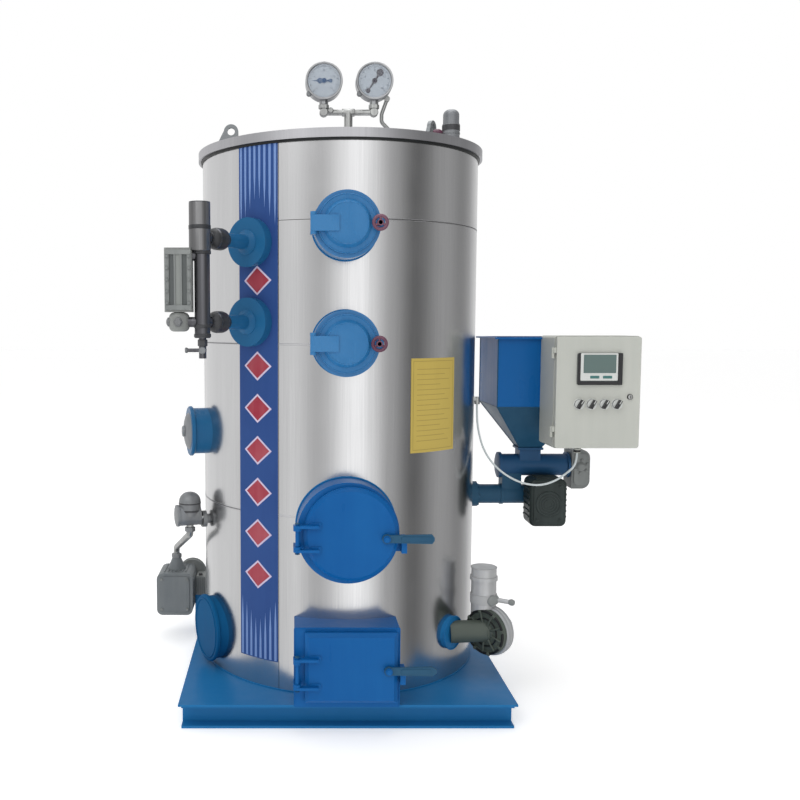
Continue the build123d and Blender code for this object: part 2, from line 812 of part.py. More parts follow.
def feed_water():
    """Check valve on the drum, and the pump on its shelf behind."""
    a, z = inlet_azimuth, inlet_z
    flange = shell_r + inlet_flange_off
    axis = z + check_rise
    valve = rod(inlet_r, polar(shell_r * 0.8, a, z), polar(shell_r + check_bonnet_off, a, z))
    valve += rod(inlet_flange_r, polar(flange, a, z), polar(flange + inlet_flange_t, a, z))
    valve += check_body()
    bx, by, _ = polar(shell_r + check_bonnet_off, a)
    bonnet = upright(check_bonnet_r, axis, check_bonnet_top, bx, by)
    valve += fillet(bonnet.edges().group_by(Axis.Z)[-1], check_bonnet_r * 0.9)
    save("check_valve", valve - drum_body())
    x, y, half = pump_x, pump_y, pump_motor_l / 2
    bottom = base_top + pump_rise
    top = bottom + pump_motor_h
    motor = block(x - pump_motor_w / 2, x + pump_motor_w / 2, y - half, y + half, bottom, top)
    motor = fillet(motor.edges().filter_by(Axis.Y), pump_motor_w / 6)
    neck = Pos(x, y, top) * Cone(pump_neck_r, water_pipe_r * 1.4, pump_neck_h, align=BASE_MIN)
    save("pump_motor", motor + neck)
    y0, y1 = pump_foot_span()
    head = front_rod(pump_head_r, pump_head_x, pump_head_z, y + half, y1)
    head = fillet(head.edges().group_by(Axis.Y)[-1], pump_head_t / 4)
    foot = block(-pump_foot_left, pump_foot_w - pump_foot_left, y0, y1, pump_foot_low, pump_foot_top)
    save("pump_head", head + fillet(foot.edges().filter_by(Axis.Y).group_by(Axis.Z)[-1], pump_foot_w / 4))
    low = (x, y, top + pump_neck_h)
    points = [low, (x, y, water_low_knee), (bx, by, water_high_knee), (bx, by, axis)]
    pipe = sweep(Pos(*low) * Circle(water_pipe_r), path=FilletPolyline(*points, radius=water_pipe_r * 3))
    save("water_pipe", pipe - check_body() - rod(inlet_r, polar(0, a, z), polar(shell_r * 2, a, z)))


def check_body():
    a, axis = inlet_azimuth, inlet_z + check_rise
    body = rod(check_r, polar(shell_r + check_start, a, axis), polar(shell_r + check_end, a, axis))
    return fillet(body.edges().filter_by(GeomType.CIRCLE), check_r / 5)


def fuel_feed():
    x0, x1 = hopper_left, hopper_left + hopper_w
    y0, y1 = hopper_front, hopper_front + hopper_d
    xc, yc = (x0 + x1) / 2, (y0 + y1) / 2
    knee = hopper_top - hopper_straight_h
    neck_z = knee - hopper_cone_h
    s = hopper_sheet
    bin_wall = block(x0, x1, y0, y1, knee, hopper_top) - block(x0 + s, x1 - s, y0 + s, y1 - s, knee, hopper_top)
    lip = block(x0 - hopper_lip_w, x1 + hopper_lip_w, y0 - hopper_lip_w, y1 + hopper_lip_w,
                hopper_top - hopper_lip_h, hopper_top)
    lip -= block(x0 + s, x1 - s, y0 + s, y1 - s, hopper_top - hopper_lip_h, hopper_top)
    lip -= block(box_left, x1 + hopper_w, y0 - hopper_d, y0, hopper_top - hopper_lip_h, hopper_top)
    save("hopper_bin", bin_wall + lip)
    outer = frustum(xc, yc, neck_z, neck_w, neck_d, knee, hopper_w, hopper_d)
    inner = frustum(xc, yc, neck_z, neck_w - 2 * s, neck_d - 2 * s, knee, hopper_w - 2 * s, hopper_d - 2 * s)
    save("hopper_cone", outer - inner)
    trough = rod(trough_r, (trough_left, yc, trough_z), (trough_right, yc, trough_z))
    trough += block(xc - neck_w / 2, xc + neck_w / 2, yc - neck_d / 2, yc + neck_d / 2, trough_z, neck_z)
    save("screw_trough", trough)
    tube_start = math.sqrt(shell_r**2 - yc**2)
    feed = rod(feed_r, (tube_start * 0.9, yc, feed_z), (feed_right, yc, feed_z)) - drum_body()
    flange_x = tube_start + feed_flange_off
    feed += rod(feed_flange_r, (flange_x, yc, feed_z), (flange_x + feed_flange_t, yc, feed_z))
    chute_x = feed_right - chute_w * 1.2
    chute = block(chute_x - chute_w / 2, chute_x + chute_w / 2, yc - feed_r * 0.8, yc + feed_r * 0.8,
                  feed_z, trough_z)
    save("feed_tube", (feed + chute) - trough)
    gearbox = block(feed_right, feed_right + gear_w, yc - gear_d / 2, yc + gear_d / 2, gear_low, gear_top)
    gearbox = fillet(gearbox.edges().filter_by(Axis.Y), gear_w / 6)
    half_w, half_h = feed_motor_w / 2, feed_motor_h / 2
    motor = block(feed_motor_x - half_w, feed_motor_x + half_w, feed_motor_front, yc - gear_d / 2,
                  feed_motor_z - half_h, feed_motor_z + half_h)
    motor = fillet(motor.edges().filter_by(Axis.Y), feed_motor_w / 6)
    motor = fillet(motor.faces().sort_by(Axis.Y)[0].edges(), feed_motor_w / 12)
    save("feed_gearing", gearbox, screw_drive())
    save("feed_motor", motor)


def screw_drive():
    """Rounded casting from the trough's end down to the motor."""
    yc = hopper_front + hopper_d / 2
    guard = block(trough_right, trough_right + guard_w, yc - guard_d / 2, yc + guard_d / 2, guard_low, guard_top)
    guard = fillet(guard.edges().filter_by(Axis.Y).sort_by(Axis.X)[-2:], guard_w / 2.2)
    return guard


def frustum(x, y, z0, w0, d0, z1, w1, d1):
    low = Pos(x, y, z0) * Rectangle(w0, d0)
    high = Pos(x, y, z1) * Rectangle(w1, d1)
    return loft([low, high])


def control_box():
    """Sheet cabinet on the hopper's front, its door hinged at the left."""
    x0, x1 = box_left, box_left + box_w
    z0, z1 = box_low, box_low + box_h
    back = hopper_front
    front = back - box_d
    s = box_sheet
    shell = block(x0, x1, front, back, z0, z1)
    shell = fillet(shell.edges().filter_by(Axis.Y), box_corner_r)
    hollow = block(x0 + s, x1 - s, front, back - s, z0 + s, z1 - s)
    hollow = fillet(hollow.edges().filter_by(Axis.Y), box_corner_r - s)
    shell -= hollow
    door_back = front - box_door_gap
    door_front = door_back - box_door_t
    e = box_door_edge
    panel = block(x0 + e, x1 - e, door_front, door_back, z0 + e, z1 - e)
    panel = fillet(panel.edges().filter_by(Axis.Y), box_corner_r)
    panel = fillet(panel.faces().sort_by(Axis.Y)[0].edges(), box_sheet)
    pan = block(x0 + e + s, x1 - e - s, door_front + s, door_back, z0 + e + s, z1 - e - s)
    panel -= fillet(pan.edges().filter_by(Axis.Y), box_corner_r - s)
    pin_x, pin_y = x0 - box_hinge_off, front - box_hinge_off / 2
    h = box_knuckle_h
    for share in (0.15, 0.85):
        z = z0 + box_h * share
        leaf = block(pin_x, x0 + s, front, front + 2 * box_knuckle_r, z - h, z)
        shell += upright(box_knuckle_r, z - h, z, pin_x, pin_y) + leaf
        shell += upright(box_pin_r, z, z + h, pin_x, pin_y)
        leaf = block(pin_x, x0 + e + s, door_front + box_door_t / 3, pin_y, z + side_clear, z + h)
        panel += upright(box_knuckle_r, z + side_clear, z + h, pin_x, pin_y) + leaf
        panel -= upright(box_pin_r + run_clear, z, z + 2 * h, pin_x, pin_y)
    shell += upright(gland_r, z0 - gland_l, z0 + s, box_gland_x, box_gland_y)
    save("control_box", shell)
    save("control_box_door", panel)
    display = block(display_x - display_w / 2, display_x + display_w / 2, door_front - display_t, door_front,
                    display_z - display_h / 2, display_z + display_h / 2)
    save("control_display", fillet(display.edges().filter_by(Axis.Y), display_t))
    knobs = []
    for x in switch_xs:
        ring = front_rod(switch_ring_r, x, switch_z, door_front - switch_ring_t, door_front)
        grip_y = door_front - switch_ring_t
        grip = block(-switch_grip_w / 2, switch_grip_w / 2, grip_y - switch_grip_t, grip_y,
                     -switch_ring_r, switch_ring_r)
        knobs.append(ring + Pos(x, 0, switch_z) * Rot(0, 30, 0) * grip)
    knobs.append(front_rod(lock_r, lock_x, lock_z, door_front - lock_t, door_front))
    save("control_switches", *knobs)


def blower():
    """Small fan beside the drum with its inlet face to the front, a duct above and a neck to the drum."""
    a, z = blower_port_azimuth, blower_port_z
    port_top = shell_r + blower_port_t
    port_pad = rod(blower_port_r, polar(shell_r * 0.8, a, z), polar(port_top, a, z))
    save("blower_port", port_pad - drum_body())
    cx, cy, _ = polar(shell_r + blower_off, blower_azimuth)
    ax, ay, _ = polar(1, blower_axis_azimuth)

    def along(t):
        return (cx + ax * t, cy + ay * t, blower_z)

    back = blower_face_t + blower_l
    face = rod(blower_face_r, along(0), along(blower_face_t))
    housing = rod(blower_r, along(blower_face_t), along(back))
    housing = fillet(housing.edges().filter_by(GeomType.CIRCLE), blower_face_t / 3)
    save("blower_housing", housing + face)
    motor = rod(blower_motor_r, along(back), along(back + blower_motor_l))
    save("blower_motor", fillet(motor.edges().group_by(Axis.X)[-1], blower_motor_r / 6))
    neck = rod(blower_neck_r, polar(shell_r, a, z), along(back / 2)) - motor
    save("blower_neck", neck - drum_body() - port_pad - housing - face)
    dx, dy, _ = polar(shell_r + duct_off, duct_azimuth)
    duct = upright(duct_r, duct_low, duct_top, dx, dy)
    cap_z = duct_top - duct_cap_drop
    duct += upright(duct_cap_r, cap_z, cap_z + duct_cap_t, dx, dy)
    duct -= rod(blower_face_r + side_clear, along(-blower_r), along(back))
    ex, ey, _ = polar(1, damper_azimuth)
    end = (dx + ex * damper_l, dy + ey * damper_l, damper_z)
    duct += rod(damper_r, (dx, dy, damper_z), end) + Pos(*end) * Sphere(damper_end_r)
    save("blower_duct", duct - housing - neck - motor)


def flue_collar():
    """Plain collar at the back for the smoke pipe."""
    start, end = shell_r * 0.8, shell_r + flue_l
    outer = rod(flue_r, (0, start, flue_z), (0, end, flue_z)) - drum_body()
    outer += rod(flue_flange_r, (0, end - flue_flange_t, flue_z), (0, end, flue_z))
    floor_y = shell_r + flue_floor
    save("flue_collar", outer - rod(flue_r - flue_t, (0, floor_y, flue_z), (0, end, flue_z)))


def signal_cable():
    """Thin hanging cable from a gland on the drum to the gland under the box."""
    x, y, _ = polar(shell_r + outlet_off, outlet_azimuth)
    gland = upright(outlet_r, outlet_z - outlet_l, outlet_z, x, y)
    stub = rod(outlet_r, polar(shell_r * 0.9, outlet_azimuth, outlet_z - outlet_r),
               (x, y, outlet_z - outlet_r)) - drum_body()
    save("drum_gland", gland + stub)
    start = (x, y, outlet_z - outlet_l)
    end = (box_gland_x, box_gland_y, box_low - gland_l)
    below_start = (x, y, start[2] - cable_first_run)
    below_end = (end[0], end[1], end[2] - cable_last_run)
    points = [start, below_start, *cable_route, below_end, end]
    radii = []
    for before, at, after in zip(points, points[1:], points[2:]):
        one, two = Vector(*at) - Vector(*before), Vector(*after) - Vector(*at)
        turn = math.radians(one.get_angle(two))
        radii.append(0.45 * min(one.length, two.length) / math.tan(turn / 2))
    print("cable radii", [round(r, 1) for r in radii])
    path = FilletPolyline(*points, radius=radii)
    tube_shape = sweep(Pos(*start) * Circle(cable_r), path=path)
    print("cable length", round(path.length, 1), "volume", round(tube_shape.volume),
          "expected", round(math.pi * cable_r**2 * path.length))
    save("signal_cable", tube_shape)


base_frame()
drum_wall()
cladding()
drum_ends()
lifting_lugs()
fire_door()
ash_door()
for which in hatch_zs:
    hatch(which)
gauges()
safety_valve()
level_gauge()
side_ports()
feed_water()
fuel_feed()
control_box()
blower()
flue_collar()
signal_cable()
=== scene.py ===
import math
import bpy
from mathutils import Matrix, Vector


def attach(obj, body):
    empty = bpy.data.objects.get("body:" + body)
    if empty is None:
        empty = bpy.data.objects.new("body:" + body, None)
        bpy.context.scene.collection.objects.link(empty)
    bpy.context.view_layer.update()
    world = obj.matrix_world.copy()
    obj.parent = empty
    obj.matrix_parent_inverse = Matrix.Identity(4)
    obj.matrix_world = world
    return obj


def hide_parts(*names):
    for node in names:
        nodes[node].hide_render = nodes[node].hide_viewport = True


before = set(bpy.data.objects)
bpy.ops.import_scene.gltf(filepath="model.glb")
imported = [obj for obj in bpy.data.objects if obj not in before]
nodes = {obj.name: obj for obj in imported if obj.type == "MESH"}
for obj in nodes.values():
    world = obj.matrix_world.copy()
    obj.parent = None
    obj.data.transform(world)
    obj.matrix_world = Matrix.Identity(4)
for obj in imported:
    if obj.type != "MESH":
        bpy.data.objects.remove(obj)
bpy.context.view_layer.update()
scene = bpy.context.scene
mm = 0.001
root = "boiler"
up, downward = (0, 0, 1), (0, 0, -1)
forward, backward = (0, -1, 0), (0, 1, 0)
rightward, leftward = (1, 0, 0), (-1, 0, 0)

print("camera and cable")
lens = {"location": (-0.1824, -3.2255, 1.2378), "tilt": 4.805, "focal": 40.79, "shiftX": 0.1412}
cameraData = bpy.data.cameras.new("photoCamera")
cameraData.lens = lens["focal"]
cameraData.sensor_width = 36.0
cameraData.shift_x = lens["shiftX"]
cameraData.dof.use_dof = False
camera = bpy.data.objects.new("photoCamera", cameraData)
camera.location = lens["location"]
camera.rotation_euler = (math.radians(90.0 - lens["tilt"]), 0.0, 0.0)
scene.collection.objects.link(camera)
scene.camera = camera
scene.view_settings.view_transform = "Standard"

cable = {
    "points": [
        (479.341, -80.213, 959.0), (479.341, -80.213, 909.0), (486.0, -92.0, 852.0), (502.0, -101.0, 798.0),
        (534.0, -110.0, 750.0), (578.0, -120.0, 713.0), (629.0, -130.0, 689.0), (684.0, -140.0, 682.0),
        (731.0, -150.0, 697.0), (771.0, -160.0, 727.0), (803.0, -170.0, 761.0), (803.0, -170.0, 801.0),
    ],
    "diameter": 0.007,
    "length": 0.572,
}


def shadeByAngle(mesh, degrees=32.0):
    for face in mesh.polygons:
        face.use_smooth = True
    mesh.set_sharp_from_angle(angle=math.radians(degrees))


def linkPiece(piece, material, body):
    piece.data.materials.append(material)
    scene.collection.objects.link(piece)
    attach(piece, body)
    return piece


def spinTo(axis):
    # Turns a local Z onto the given axis.
    return Vector(up).rotation_difference(Vector(axis).normalized())


def circle(centre, spin, radius, height, sides, turn=0.0):
    points = []
    for i in range(sides):
        a = turn + 2 * math.pi * i / sides
        points.append(Vector(centre) + spin @ Vector((radius * math.cos(a), radius * math.sin(a), height)))
    return points


class Shape:
    # Gathers points and faces in millimetres, then makes one piece of them.
    def __init__(self):
        self.points = []
        self.faces = []

    def add(self, points, faces):
        base = len(self.points)
        self.points += [Vector(p) for p in points]
        self.faces += [[base + i for i in face] for face in faces]
        return self

    def grid(self, rows, closed=False):
        across = len(rows[0])
        faces = []
        for r in range(len(rows) - 1):
            for c in range(across if closed else across - 1):
                d = (c + 1) % across
                faces.append((r * across + c, r * across + d, (r + 1) * across + d, (r + 1) * across + c))
        return self.add([p for row in rows for p in row], faces)

    def box(self, x0, x1, y0, y1, z0, z1):
        corners = [(x, y, z) for z in (z0, z1) for y in (y0, y1) for x in (x0, x1)]
        sides = [(0, 2, 3, 1), (4, 5, 7, 6), (0, 1, 5, 4), (2, 6, 7, 3), (0, 4, 6, 2), (1, 3, 7, 5)]
        return self.add(corners, sides)

    def lathe(self, origin, axis, profile, sides=40, turn=0.0):
        # Turns (radius, height) pairs about an axis through the origin.
        spin = spinTo(axis)
        base = len(self.points)
        self.grid([circle(origin, spin, max(r, 0.01), h, sides, turn) for r, h in profile], closed=True)
        self.faces.append([base + i for i in reversed(range(sides))])
        self.faces.append([base + (len(profile) - 1) * sides + i for i in range(sides)])
        return self

    def rod(self, start, end, radius, soft=0.0, sides=24):
        axis = Vector(end) - Vector(start)
        length = axis.length
        profile = [(radius, 0), (radius, length)]
        if soft:
            profile = [(radius - soft, 0), (radius - soft * 0.3, soft * 0.3), (radius, soft),
                       (radius, length - soft), (radius - soft * 0.3, length - soft * 0.3),
                       (radius - soft, length)]
        return self.lathe(start, axis, profile, sides)

    def hoop(self, centre, axis, profile, sides=48):
        # A closed section swept round, such as a washer.
        spin = spinTo(axis)
        rows = [circle(centre, spin, r, h, sides) for r, h in profile]
        return self.grid(rows + [rows[0]], closed=True)

    def ring(self, centre, axis, radius, tube, sides=48, tubeSides=10):
        profile = [(radius + tube * math.cos(2 * math.pi * i / tubeSides),
                    tube * math.sin(2 * math.pi * i / tubeSides)) for i in range(tubeSides)]
        return self.hoop(centre, axis, profile, sides)

    def bead(self, path, radius, sides=8, closed=True):
        # A thin round bead along a line of points.
        rows = []
        count = len(path)
        for i, point in enumerate(path):
            before = path[i - 1] if closed or i else path[i]
            after = path[(i + 1) % count] if closed or i < count - 1 else path[i]
            rows.append(circle(point, spinTo(Vector(after) - Vector(before)), radius, 0.0, sides))
        if closed:
            rows.append(rows[0])
        return self.grid(rows, closed=True)

    def bolt(self, place, axis, across, height, washer=0.0):
        axis = Vector(axis).normalized()
        place = Vector(place)
        if washer:
            self.lathe(place, axis, [(across * 0.75, 0), (across * 0.75, washer)], 16)
            place = place + axis * washer
        corner = across / 2 / math.cos(math.pi / 6)
        return self.lathe(place, axis, [(corner, 0), (corner, height * 0.8), (across * 0.46, height)], 6)

    def boltCircle(self, centre, axis, radius, count, across, height, turn=0.0, washer=1.0):
        for place in circle(centre, spinTo(axis), radius, 0.0, count, turn):
            self.bolt(place, axis, across, height, washer)
        return self

    def patch(self, a0, a1, z0, z1, radius, thick, steps=12, rise=1):
        # A thin sheet bent round the drum.
        rows = []
        angles = [a0 + (a1 - a0) * i / steps for i in range(steps + 1)]
        for k in range(rise + 1):
            z = z0 + (z1 - z0) * k / rise
            rows.append([drumPoint(radius + thick, a, z) for a in angles]
                        + [drumPoint(radius, a, z) for a in reversed(angles)])
        base = len(self.points)
        count = len(rows[0])
        self.grid(rows, closed=True)
        top = base + rise * count
        for i in range(steps):
            j = count - 1 - i
            self.faces.append([base + i, base + j, base + j - 1, base + i + 1])
            self.faces.append([top + i, top + i + 1, top + j - 1, top + j])
        return self

    def lozenge(self, middle, z, halfAngle, halfHeight, radius, thick, steps=6):
        # A diamond bent round the drum, in upright slices.
        rows = []
        for i in range(-steps, steps + 1):
            a = middle + halfAngle * i / steps
            h = halfHeight * (1 - abs(i) / steps) + 0.01
            rows.append([drumPoint(radius + thick, a, z - h), drumPoint(radius + thick, a, z + h),
                         drumPoint(radius, a, z + h), drumPoint(radius, a, z - h)])
        return self.grid(rows, closed=True)

    def slab(self, outline, place, thick):
        # A flat outline with depth, put in place by a function of (u, v, depth).
        n = len(outline)
        points = [place(u, v, 0.0) for u, v in outline] + [place(u, v, thick) for u, v in outline]
        faces = [list(reversed(range(n))), list(range(n, 2 * n))]
        faces += [[i, (i + 1) % n, n + (i + 1) % n, n + i] for i in range(n)]
        return self.add(points, faces)

    def panel(self, x0, x1, z0, z1, radius, y, thick):
        # A flat plate with round corners that faces the front.
        return self.slab(roundedRect(x0, x1, z0, z1, radius), onFront(y), thick)

    def make(self, name, material, body=root, angle=32.0, bevel=0.0):
        mesh = bpy.data.meshes.new(name)
        mesh.from_pydata([tuple(p * mm) for p in self.points], [], self.faces)
        mesh.validate()
        shadeByAngle(mesh, angle)
        piece = linkPiece(bpy.data.objects.new(name, mesh), material, body)
        if bevel:
            edge = piece.modifiers.new("softEdge", "BEVEL")
            edge.width = bevel * mm
            edge.segments = 2
            edge.limit_method = "ANGLE"
            edge.harden_normals = True
        return piece


def drumPoint(radius, azimuth, z):
    a = math.radians(azimuth)
    return Vector((radius * math.cos(a), radius * math.sin(a), z))


def drumOut(azimuth):
    return drumPoint(1.0, azimuth, 0.0)


def onDrum(radius):
    # Lays (azimuth, z) outlines on the drum.
    return lambda a, z, depth: drumPoint(radius + depth, a, z)


def onFront(y):
    # Lays (x, z) outlines on a plane that faces the front.
    return lambda x, z, depth: Vector((x, y - depth, z))


def roundedRect(x0, x1, z0, z1, radius, steps=5):
    points = []
    for cx, cz, start in ((x1 - radius, z1 - radius, 0), (x0 + radius, z1 - radius, 90),
                          (x0 + radius, z0 + radius, 180), (x1 - radius, z0 + radius, 270)):
        for i in range(steps + 1):
            a = math.radians(start + 90 * i / steps)
            points.append((cx + radius * math.cos(a), cz + radius * math.sin(a)))
    return points


def saddle(x, z, radius, shell, steps=72):
    # The line where a round neck along Y meets the drum.
    points = []
    for i in range(steps):
        a = 2 * math.pi * i / steps
        px = x + radius * math.cos(a)
        points.append(Vector((px, -math.sqrt(shell**2 - px**2), z + radius * math.sin(a))))
    return points


print("materials")


def newGroup(name, inputs, outputs):
    tree = bpy.data.node_groups.new(name, "ShaderNodeTree")
    for label, kind, value in inputs:
        tree.interface.new_socket(name=label, in_out="INPUT", socket_type=kind).default_value = value
    for label, kind in outputs:
        tree.interface.new_socket(name=label, in_out="OUTPUT", socket_type=kind)
    return tree, tree.nodes.new("NodeGroupInput"), tree.nodes.new("NodeGroupOutput")


def addNode(tree, kind, settings=None, values=None, links=None):
    node = tree.nodes.new(kind)
    for key, value in (settings or {}).items():
        setattr(node, key, value)
    for key, value in (values or {}).items():
        node.inputs[key].default_value = value
    for key, socket in (links or {}).items():
        tree.links.new(socket, node.inputs[key])
    return node


def feed(tree, socket, item):
    # Links a socket, or sets a plain value.
    if isinstance(item, (int, float, tuple)):
        socket.default_value = item
    else:
        tree.links.new(item, socket)


def noise(tree, vector, scale, detail=3.0):
    node = addNode(tree, "ShaderNodeTexNoise", None, {"Detail": detail, "Roughness": 0.55}, {"Vector": vector})
    feed(tree, node.inputs["Scale"], scale)
    return node.outputs["Fac"]


def maths(tree, operation, first, second):
    node = addNode(tree, "ShaderNodeMath", {"operation": operation})
    feed(tree, node.inputs[0], first)
    feed(tree, node.inputs[1], second)
    return node.outputs[0]


def mixColor(tree, factor, first, second):
    node = addNode(tree, "ShaderNodeMix", {"data_type": "RGBA"})
    for key, item in ((0, factor), (6, first), (7, second)):
        feed(tree, node.inputs[key], item)
    return node.outputs[2]


def spread(tree, value, low, high, outLow, outHigh):
    node = addNode(tree, "ShaderNodeMapRange", None, {"From Min": low, "From Max": high}, {"Value": value})
    feed(tree, node.inputs["To Min"], outLow)
    feed(tree, node.inputs["To Max"], outHigh)
    return node.outputs["Result"]


def stretched(tree, vector, factors):
    node = addNode(tree, "ShaderNodeVectorMath", {"operation": "MULTIPLY"}, None, {0: vector})
    node.inputs[1].default_value = factors
    return node.outputs[0]


def lookSockets():
    return [("Color", "NodeSocketColor"), ("Roughness", "NodeSocketFloat"), ("Height", "NodeSocketFloat")]


def buildPaintGroup():
    # Uneven tone, runs and dust of sprayed paint, worn edges and a fine ripple.
    tree, start, end = newGroup(
        "paintedSurface",
        [("Color", "NodeSocketColor", (0.5, 0.5, 0.5, 1.0)),
         ("Worn Color", "NodeSocketColor", (0.3, 0.3, 0.3, 1.0)),
         ("Wear", "NodeSocketFloat", 0.3), ("Roughness Low", "NodeSocketFloat", 0.3),
         ("Roughness High", "NodeSocketFloat", 0.5), ("Ripple", "NodeSocketFloat", 0.2)], lookSockets())
    given = start.outputs
    place = addNode(tree, "ShaderNodeTexCoord").outputs["Object"]
    broad = noise(tree, place, 4.5, 4.0)
    runs = noise(tree, stretched(tree, place, (30.0, 30.0, 2.4)), 1.0, 4.0)
    specks = noise(tree, place, 190.0, 2.0)
    tone = maths(tree, "ADD", maths(tree, "MULTIPLY", broad, 0.6), maths(tree, "MULTIPLY", runs, 0.4))
    mask = maths(tree, "MULTIPLY", spread(tree, tone, 0.4, 0.64, 0.0, 1.0), given["Wear"])
    dust = maths(tree, "MULTIPLY", spread(tree, specks, 0.62, 0.74, 0.0, 0.5), given["Wear"])
    edges = addNode(tree, "ShaderNodeNewGeometry").outputs["Pointiness"]
    rub = maths(tree, "MULTIPLY", spread(tree, edges, 0.53, 0.6, 0.0, 0.8), given["Wear"])
    mask = maths(tree, "MAXIMUM", maths(tree, "MAXIMUM", mask, dust), rub)
    peel = noise(tree, place, 420.0, 1.0)
    waves = noise(tree, place, 28.0)
    ripple = maths(tree, "ADD", maths(tree, "MULTIPLY", peel, 0.4), maths(tree, "MULTIPLY", waves, 0.6))
    results = {
        "Color": mixColor(tree, mask, given["Color"], given["Worn Color"]),
        "Roughness": spread(tree, tone, 0.35, 0.68, given["Roughness Low"], given["Roughness High"]),
        "Height": maths(tree, "MULTIPLY", ripple, given["Ripple"]),
    }
    for key, socket in results.items():
        tree.links.new(socket, end.inputs[key])
    return tree


def buildBrushedGroup():
    # Long grain up the sheet, wandering tone across it and faint handling marks.
    tree, start, end = newGroup(
        "brushedSheet",
        [("Color", "NodeSocketColor", (0.6, 0.6, 0.6, 1.0)),
         ("Dark Color", "NodeSocketColor", (0.4, 0.4, 0.4, 1.0)),
         ("Grain", "NodeSocketFloat", 260.0), ("Streak", "NodeSocketFloat", 0.5),
         ("Roughness Low", "NodeSocketFloat", 0.22), ("Roughness High", "NodeSocketFloat", 0.4)], lookSockets())
    given = start.outputs
    place = addNode(tree, "ShaderNodeTexCoord").outputs["Object"]
    fine = noise(tree, stretched(tree, place, (1.0, 1.0, 0.012)), given["Grain"], 3.0)
    wide = noise(tree, stretched(tree, place, (1.0, 1.0, 0.05)), 12.0, 3.0)
    smudge = noise(tree, place, 4.5, 4.0)
    tone = maths(tree, "ADD", maths(tree, "MULTIPLY", fine, 0.4), maths(tree, "MULTIPLY", wide, 0.6))
    mask = maths(tree, "MULTIPLY", spread(tree, tone, 0.38, 0.62, 0.0, 1.0), given["Streak"])
    blend = maths(tree, "ADD", maths(tree, "MULTIPLY", fine, 0.5), maths(tree, "MULTIPLY", smudge, 0.5))
    results = {
        "Color": mixColor(tree, mask, given["Color"], given["Dark Color"]),
        "Roughness": spread(tree, blend, 0.35, 0.65, given["Roughness Low"], given["Roughness High"]),
        "Height": fine,
    }
    for key, socket in results.items():
        tree.links.new(socket, end.inputs[key])
    return tree


paintGroup = buildPaintGroup()
brushedGroup = buildBrushedGroup()


def newMaterial(name, group, settings, bump, shaderValues):
    material = bpy.data.materials.new(name)
    material.use_nodes = True
    tree = material.node_tree
    shader = tree.nodes["Principled BSDF"]
    for key, value in shaderValues.items():
        shader.inputs[key].default_value = value
    look = tree.nodes.new("ShaderNodeGroup")
    look.node_tree = group
    for key, value in settings.items():
        look.inputs[key].default_value = value
    tree.links.new(look.outputs["Color"], shader.inputs["Base Color"])
    tree.links.new(look.outputs["Roughness"], shader.inputs["Roughness"])
    if bump:
        node = addNode(tree, "ShaderNodeBump", None, {"Strength": bump, "Distance": 0.0006},
                       {"Height": look.outputs["Height"]})
        tree.links.new(node.outputs["Normal"], shader.inputs["Normal"])
    return material


def painted(name, color, worn, wear=0.4, rough=(0.28, 0.45), shine=0.3, ripple=0.3, bump=0.25, metal=0.0):
    return newMaterial(name, paintGroup, {
        "Color": (*color, 1.0), "Worn Color": (*worn, 1.0), "Wear": wear, "Roughness Low": rough[0],
        "Roughness High": rough[1], "Ripple": ripple}, bump, {"Metallic": metal, "Specular IOR Level": shine})


def brushed(name, color, dark, grain=260.0, streak=0.5, rough=(0.22, 0.4), bump=0.08):
    return newMaterial(name, brushedGroup, {
        "Color": (*color, 1.0), "Dark Color": (*dark, 1.0), "Grain": grain, "Streak": streak,
        "Roughness Low": rough[0], "Roughness High": rough[1]}, bump, {"Metallic": 1.0})


doorBlue = painted("doorBlue", (0.003, 0.094, 0.315), (0.008, 0.12, 0.36), 0.6, (0.25, 0.42), 0.12)
hatchBlue = painted("hatchBlue", (0.02, 0.15, 0.36), (0.05, 0.2, 0.43), 0.75, (0.22, 0.38), 0.3)
frameBlue = painted("frameBlue", (0.008, 0.135, 0.35), (0.022, 0.18, 0.41), 0.6, (0.28, 0.45), 0.12)
capBlue = painted("capBlue", (0.003, 0.075, 0.2), (0.01, 0.1, 0.24), 0.6, (0.5, 0.65), 0.04)
portBlue = painted("portBlue", (0.012, 0.098, 0.23), (0.02, 0.13, 0.28), 0.6, (0.25, 0.4), 0.15)
feedBlue = painted("feedBlue", (0.014, 0.072, 0.142), (0.026, 0.1, 0.18), 0.6, (0.3, 0.5), 0.2)
deepBlue = painted("deepBlue", (0.014, 0.07, 0.17), (0.024, 0.095, 0.21), 0.5, (0.3, 0.5), 0.2)
bannerBlue = painted("bannerBlue", (0.022, 0.062, 0.215), (0.032, 0.085, 0.26), 0.5, (0.4, 0.55), 0.15, 0.1, 0.1)
bannerPale = painted("bannerPale", (0.2, 0.31, 0.58), (0.13, 0.22, 0.48), 0.5, (0.4, 0.55), 0.15, 0.1, 0.1)
bannerRed = painted("bannerRed", (0.3, 0.028, 0.05), (0.42, 0.12, 0.14), 0.6, (0.4, 0.55), 0.15, 0.1, 0.1)
bannerWhite = painted("bannerWhite", (0.6, 0.52, 0.66), (0.42, 0.36, 0.52), 0.5, (0.4, 0.55), 0.15, 0.1, 0.1)
plateYellow = painted("plateYellow", (0.54, 0.41, 0.1), (0.46, 0.34, 0.08), 0.5, (0.4, 0.55), 0.2, 0.1, 0.1)
plateInk = painted("plateInk", (0.4, 0.3, 0.08), (0.33, 0.25, 0.07), 0.6, (0.4, 0.55), 0.15, 0.1, 0.1)
steelSheet = brushed("steelSheet", (0.655, 0.655, 0.662), (0.56, 0.56, 0.568), 300.0, 0.5, (0.17, 0.27), 0.04)
steelRim = brushed("steelRim", (0.52, 0.52, 0.54), (0.42, 0.42, 0.44), 180.0, 0.5, (0.34, 0.48))
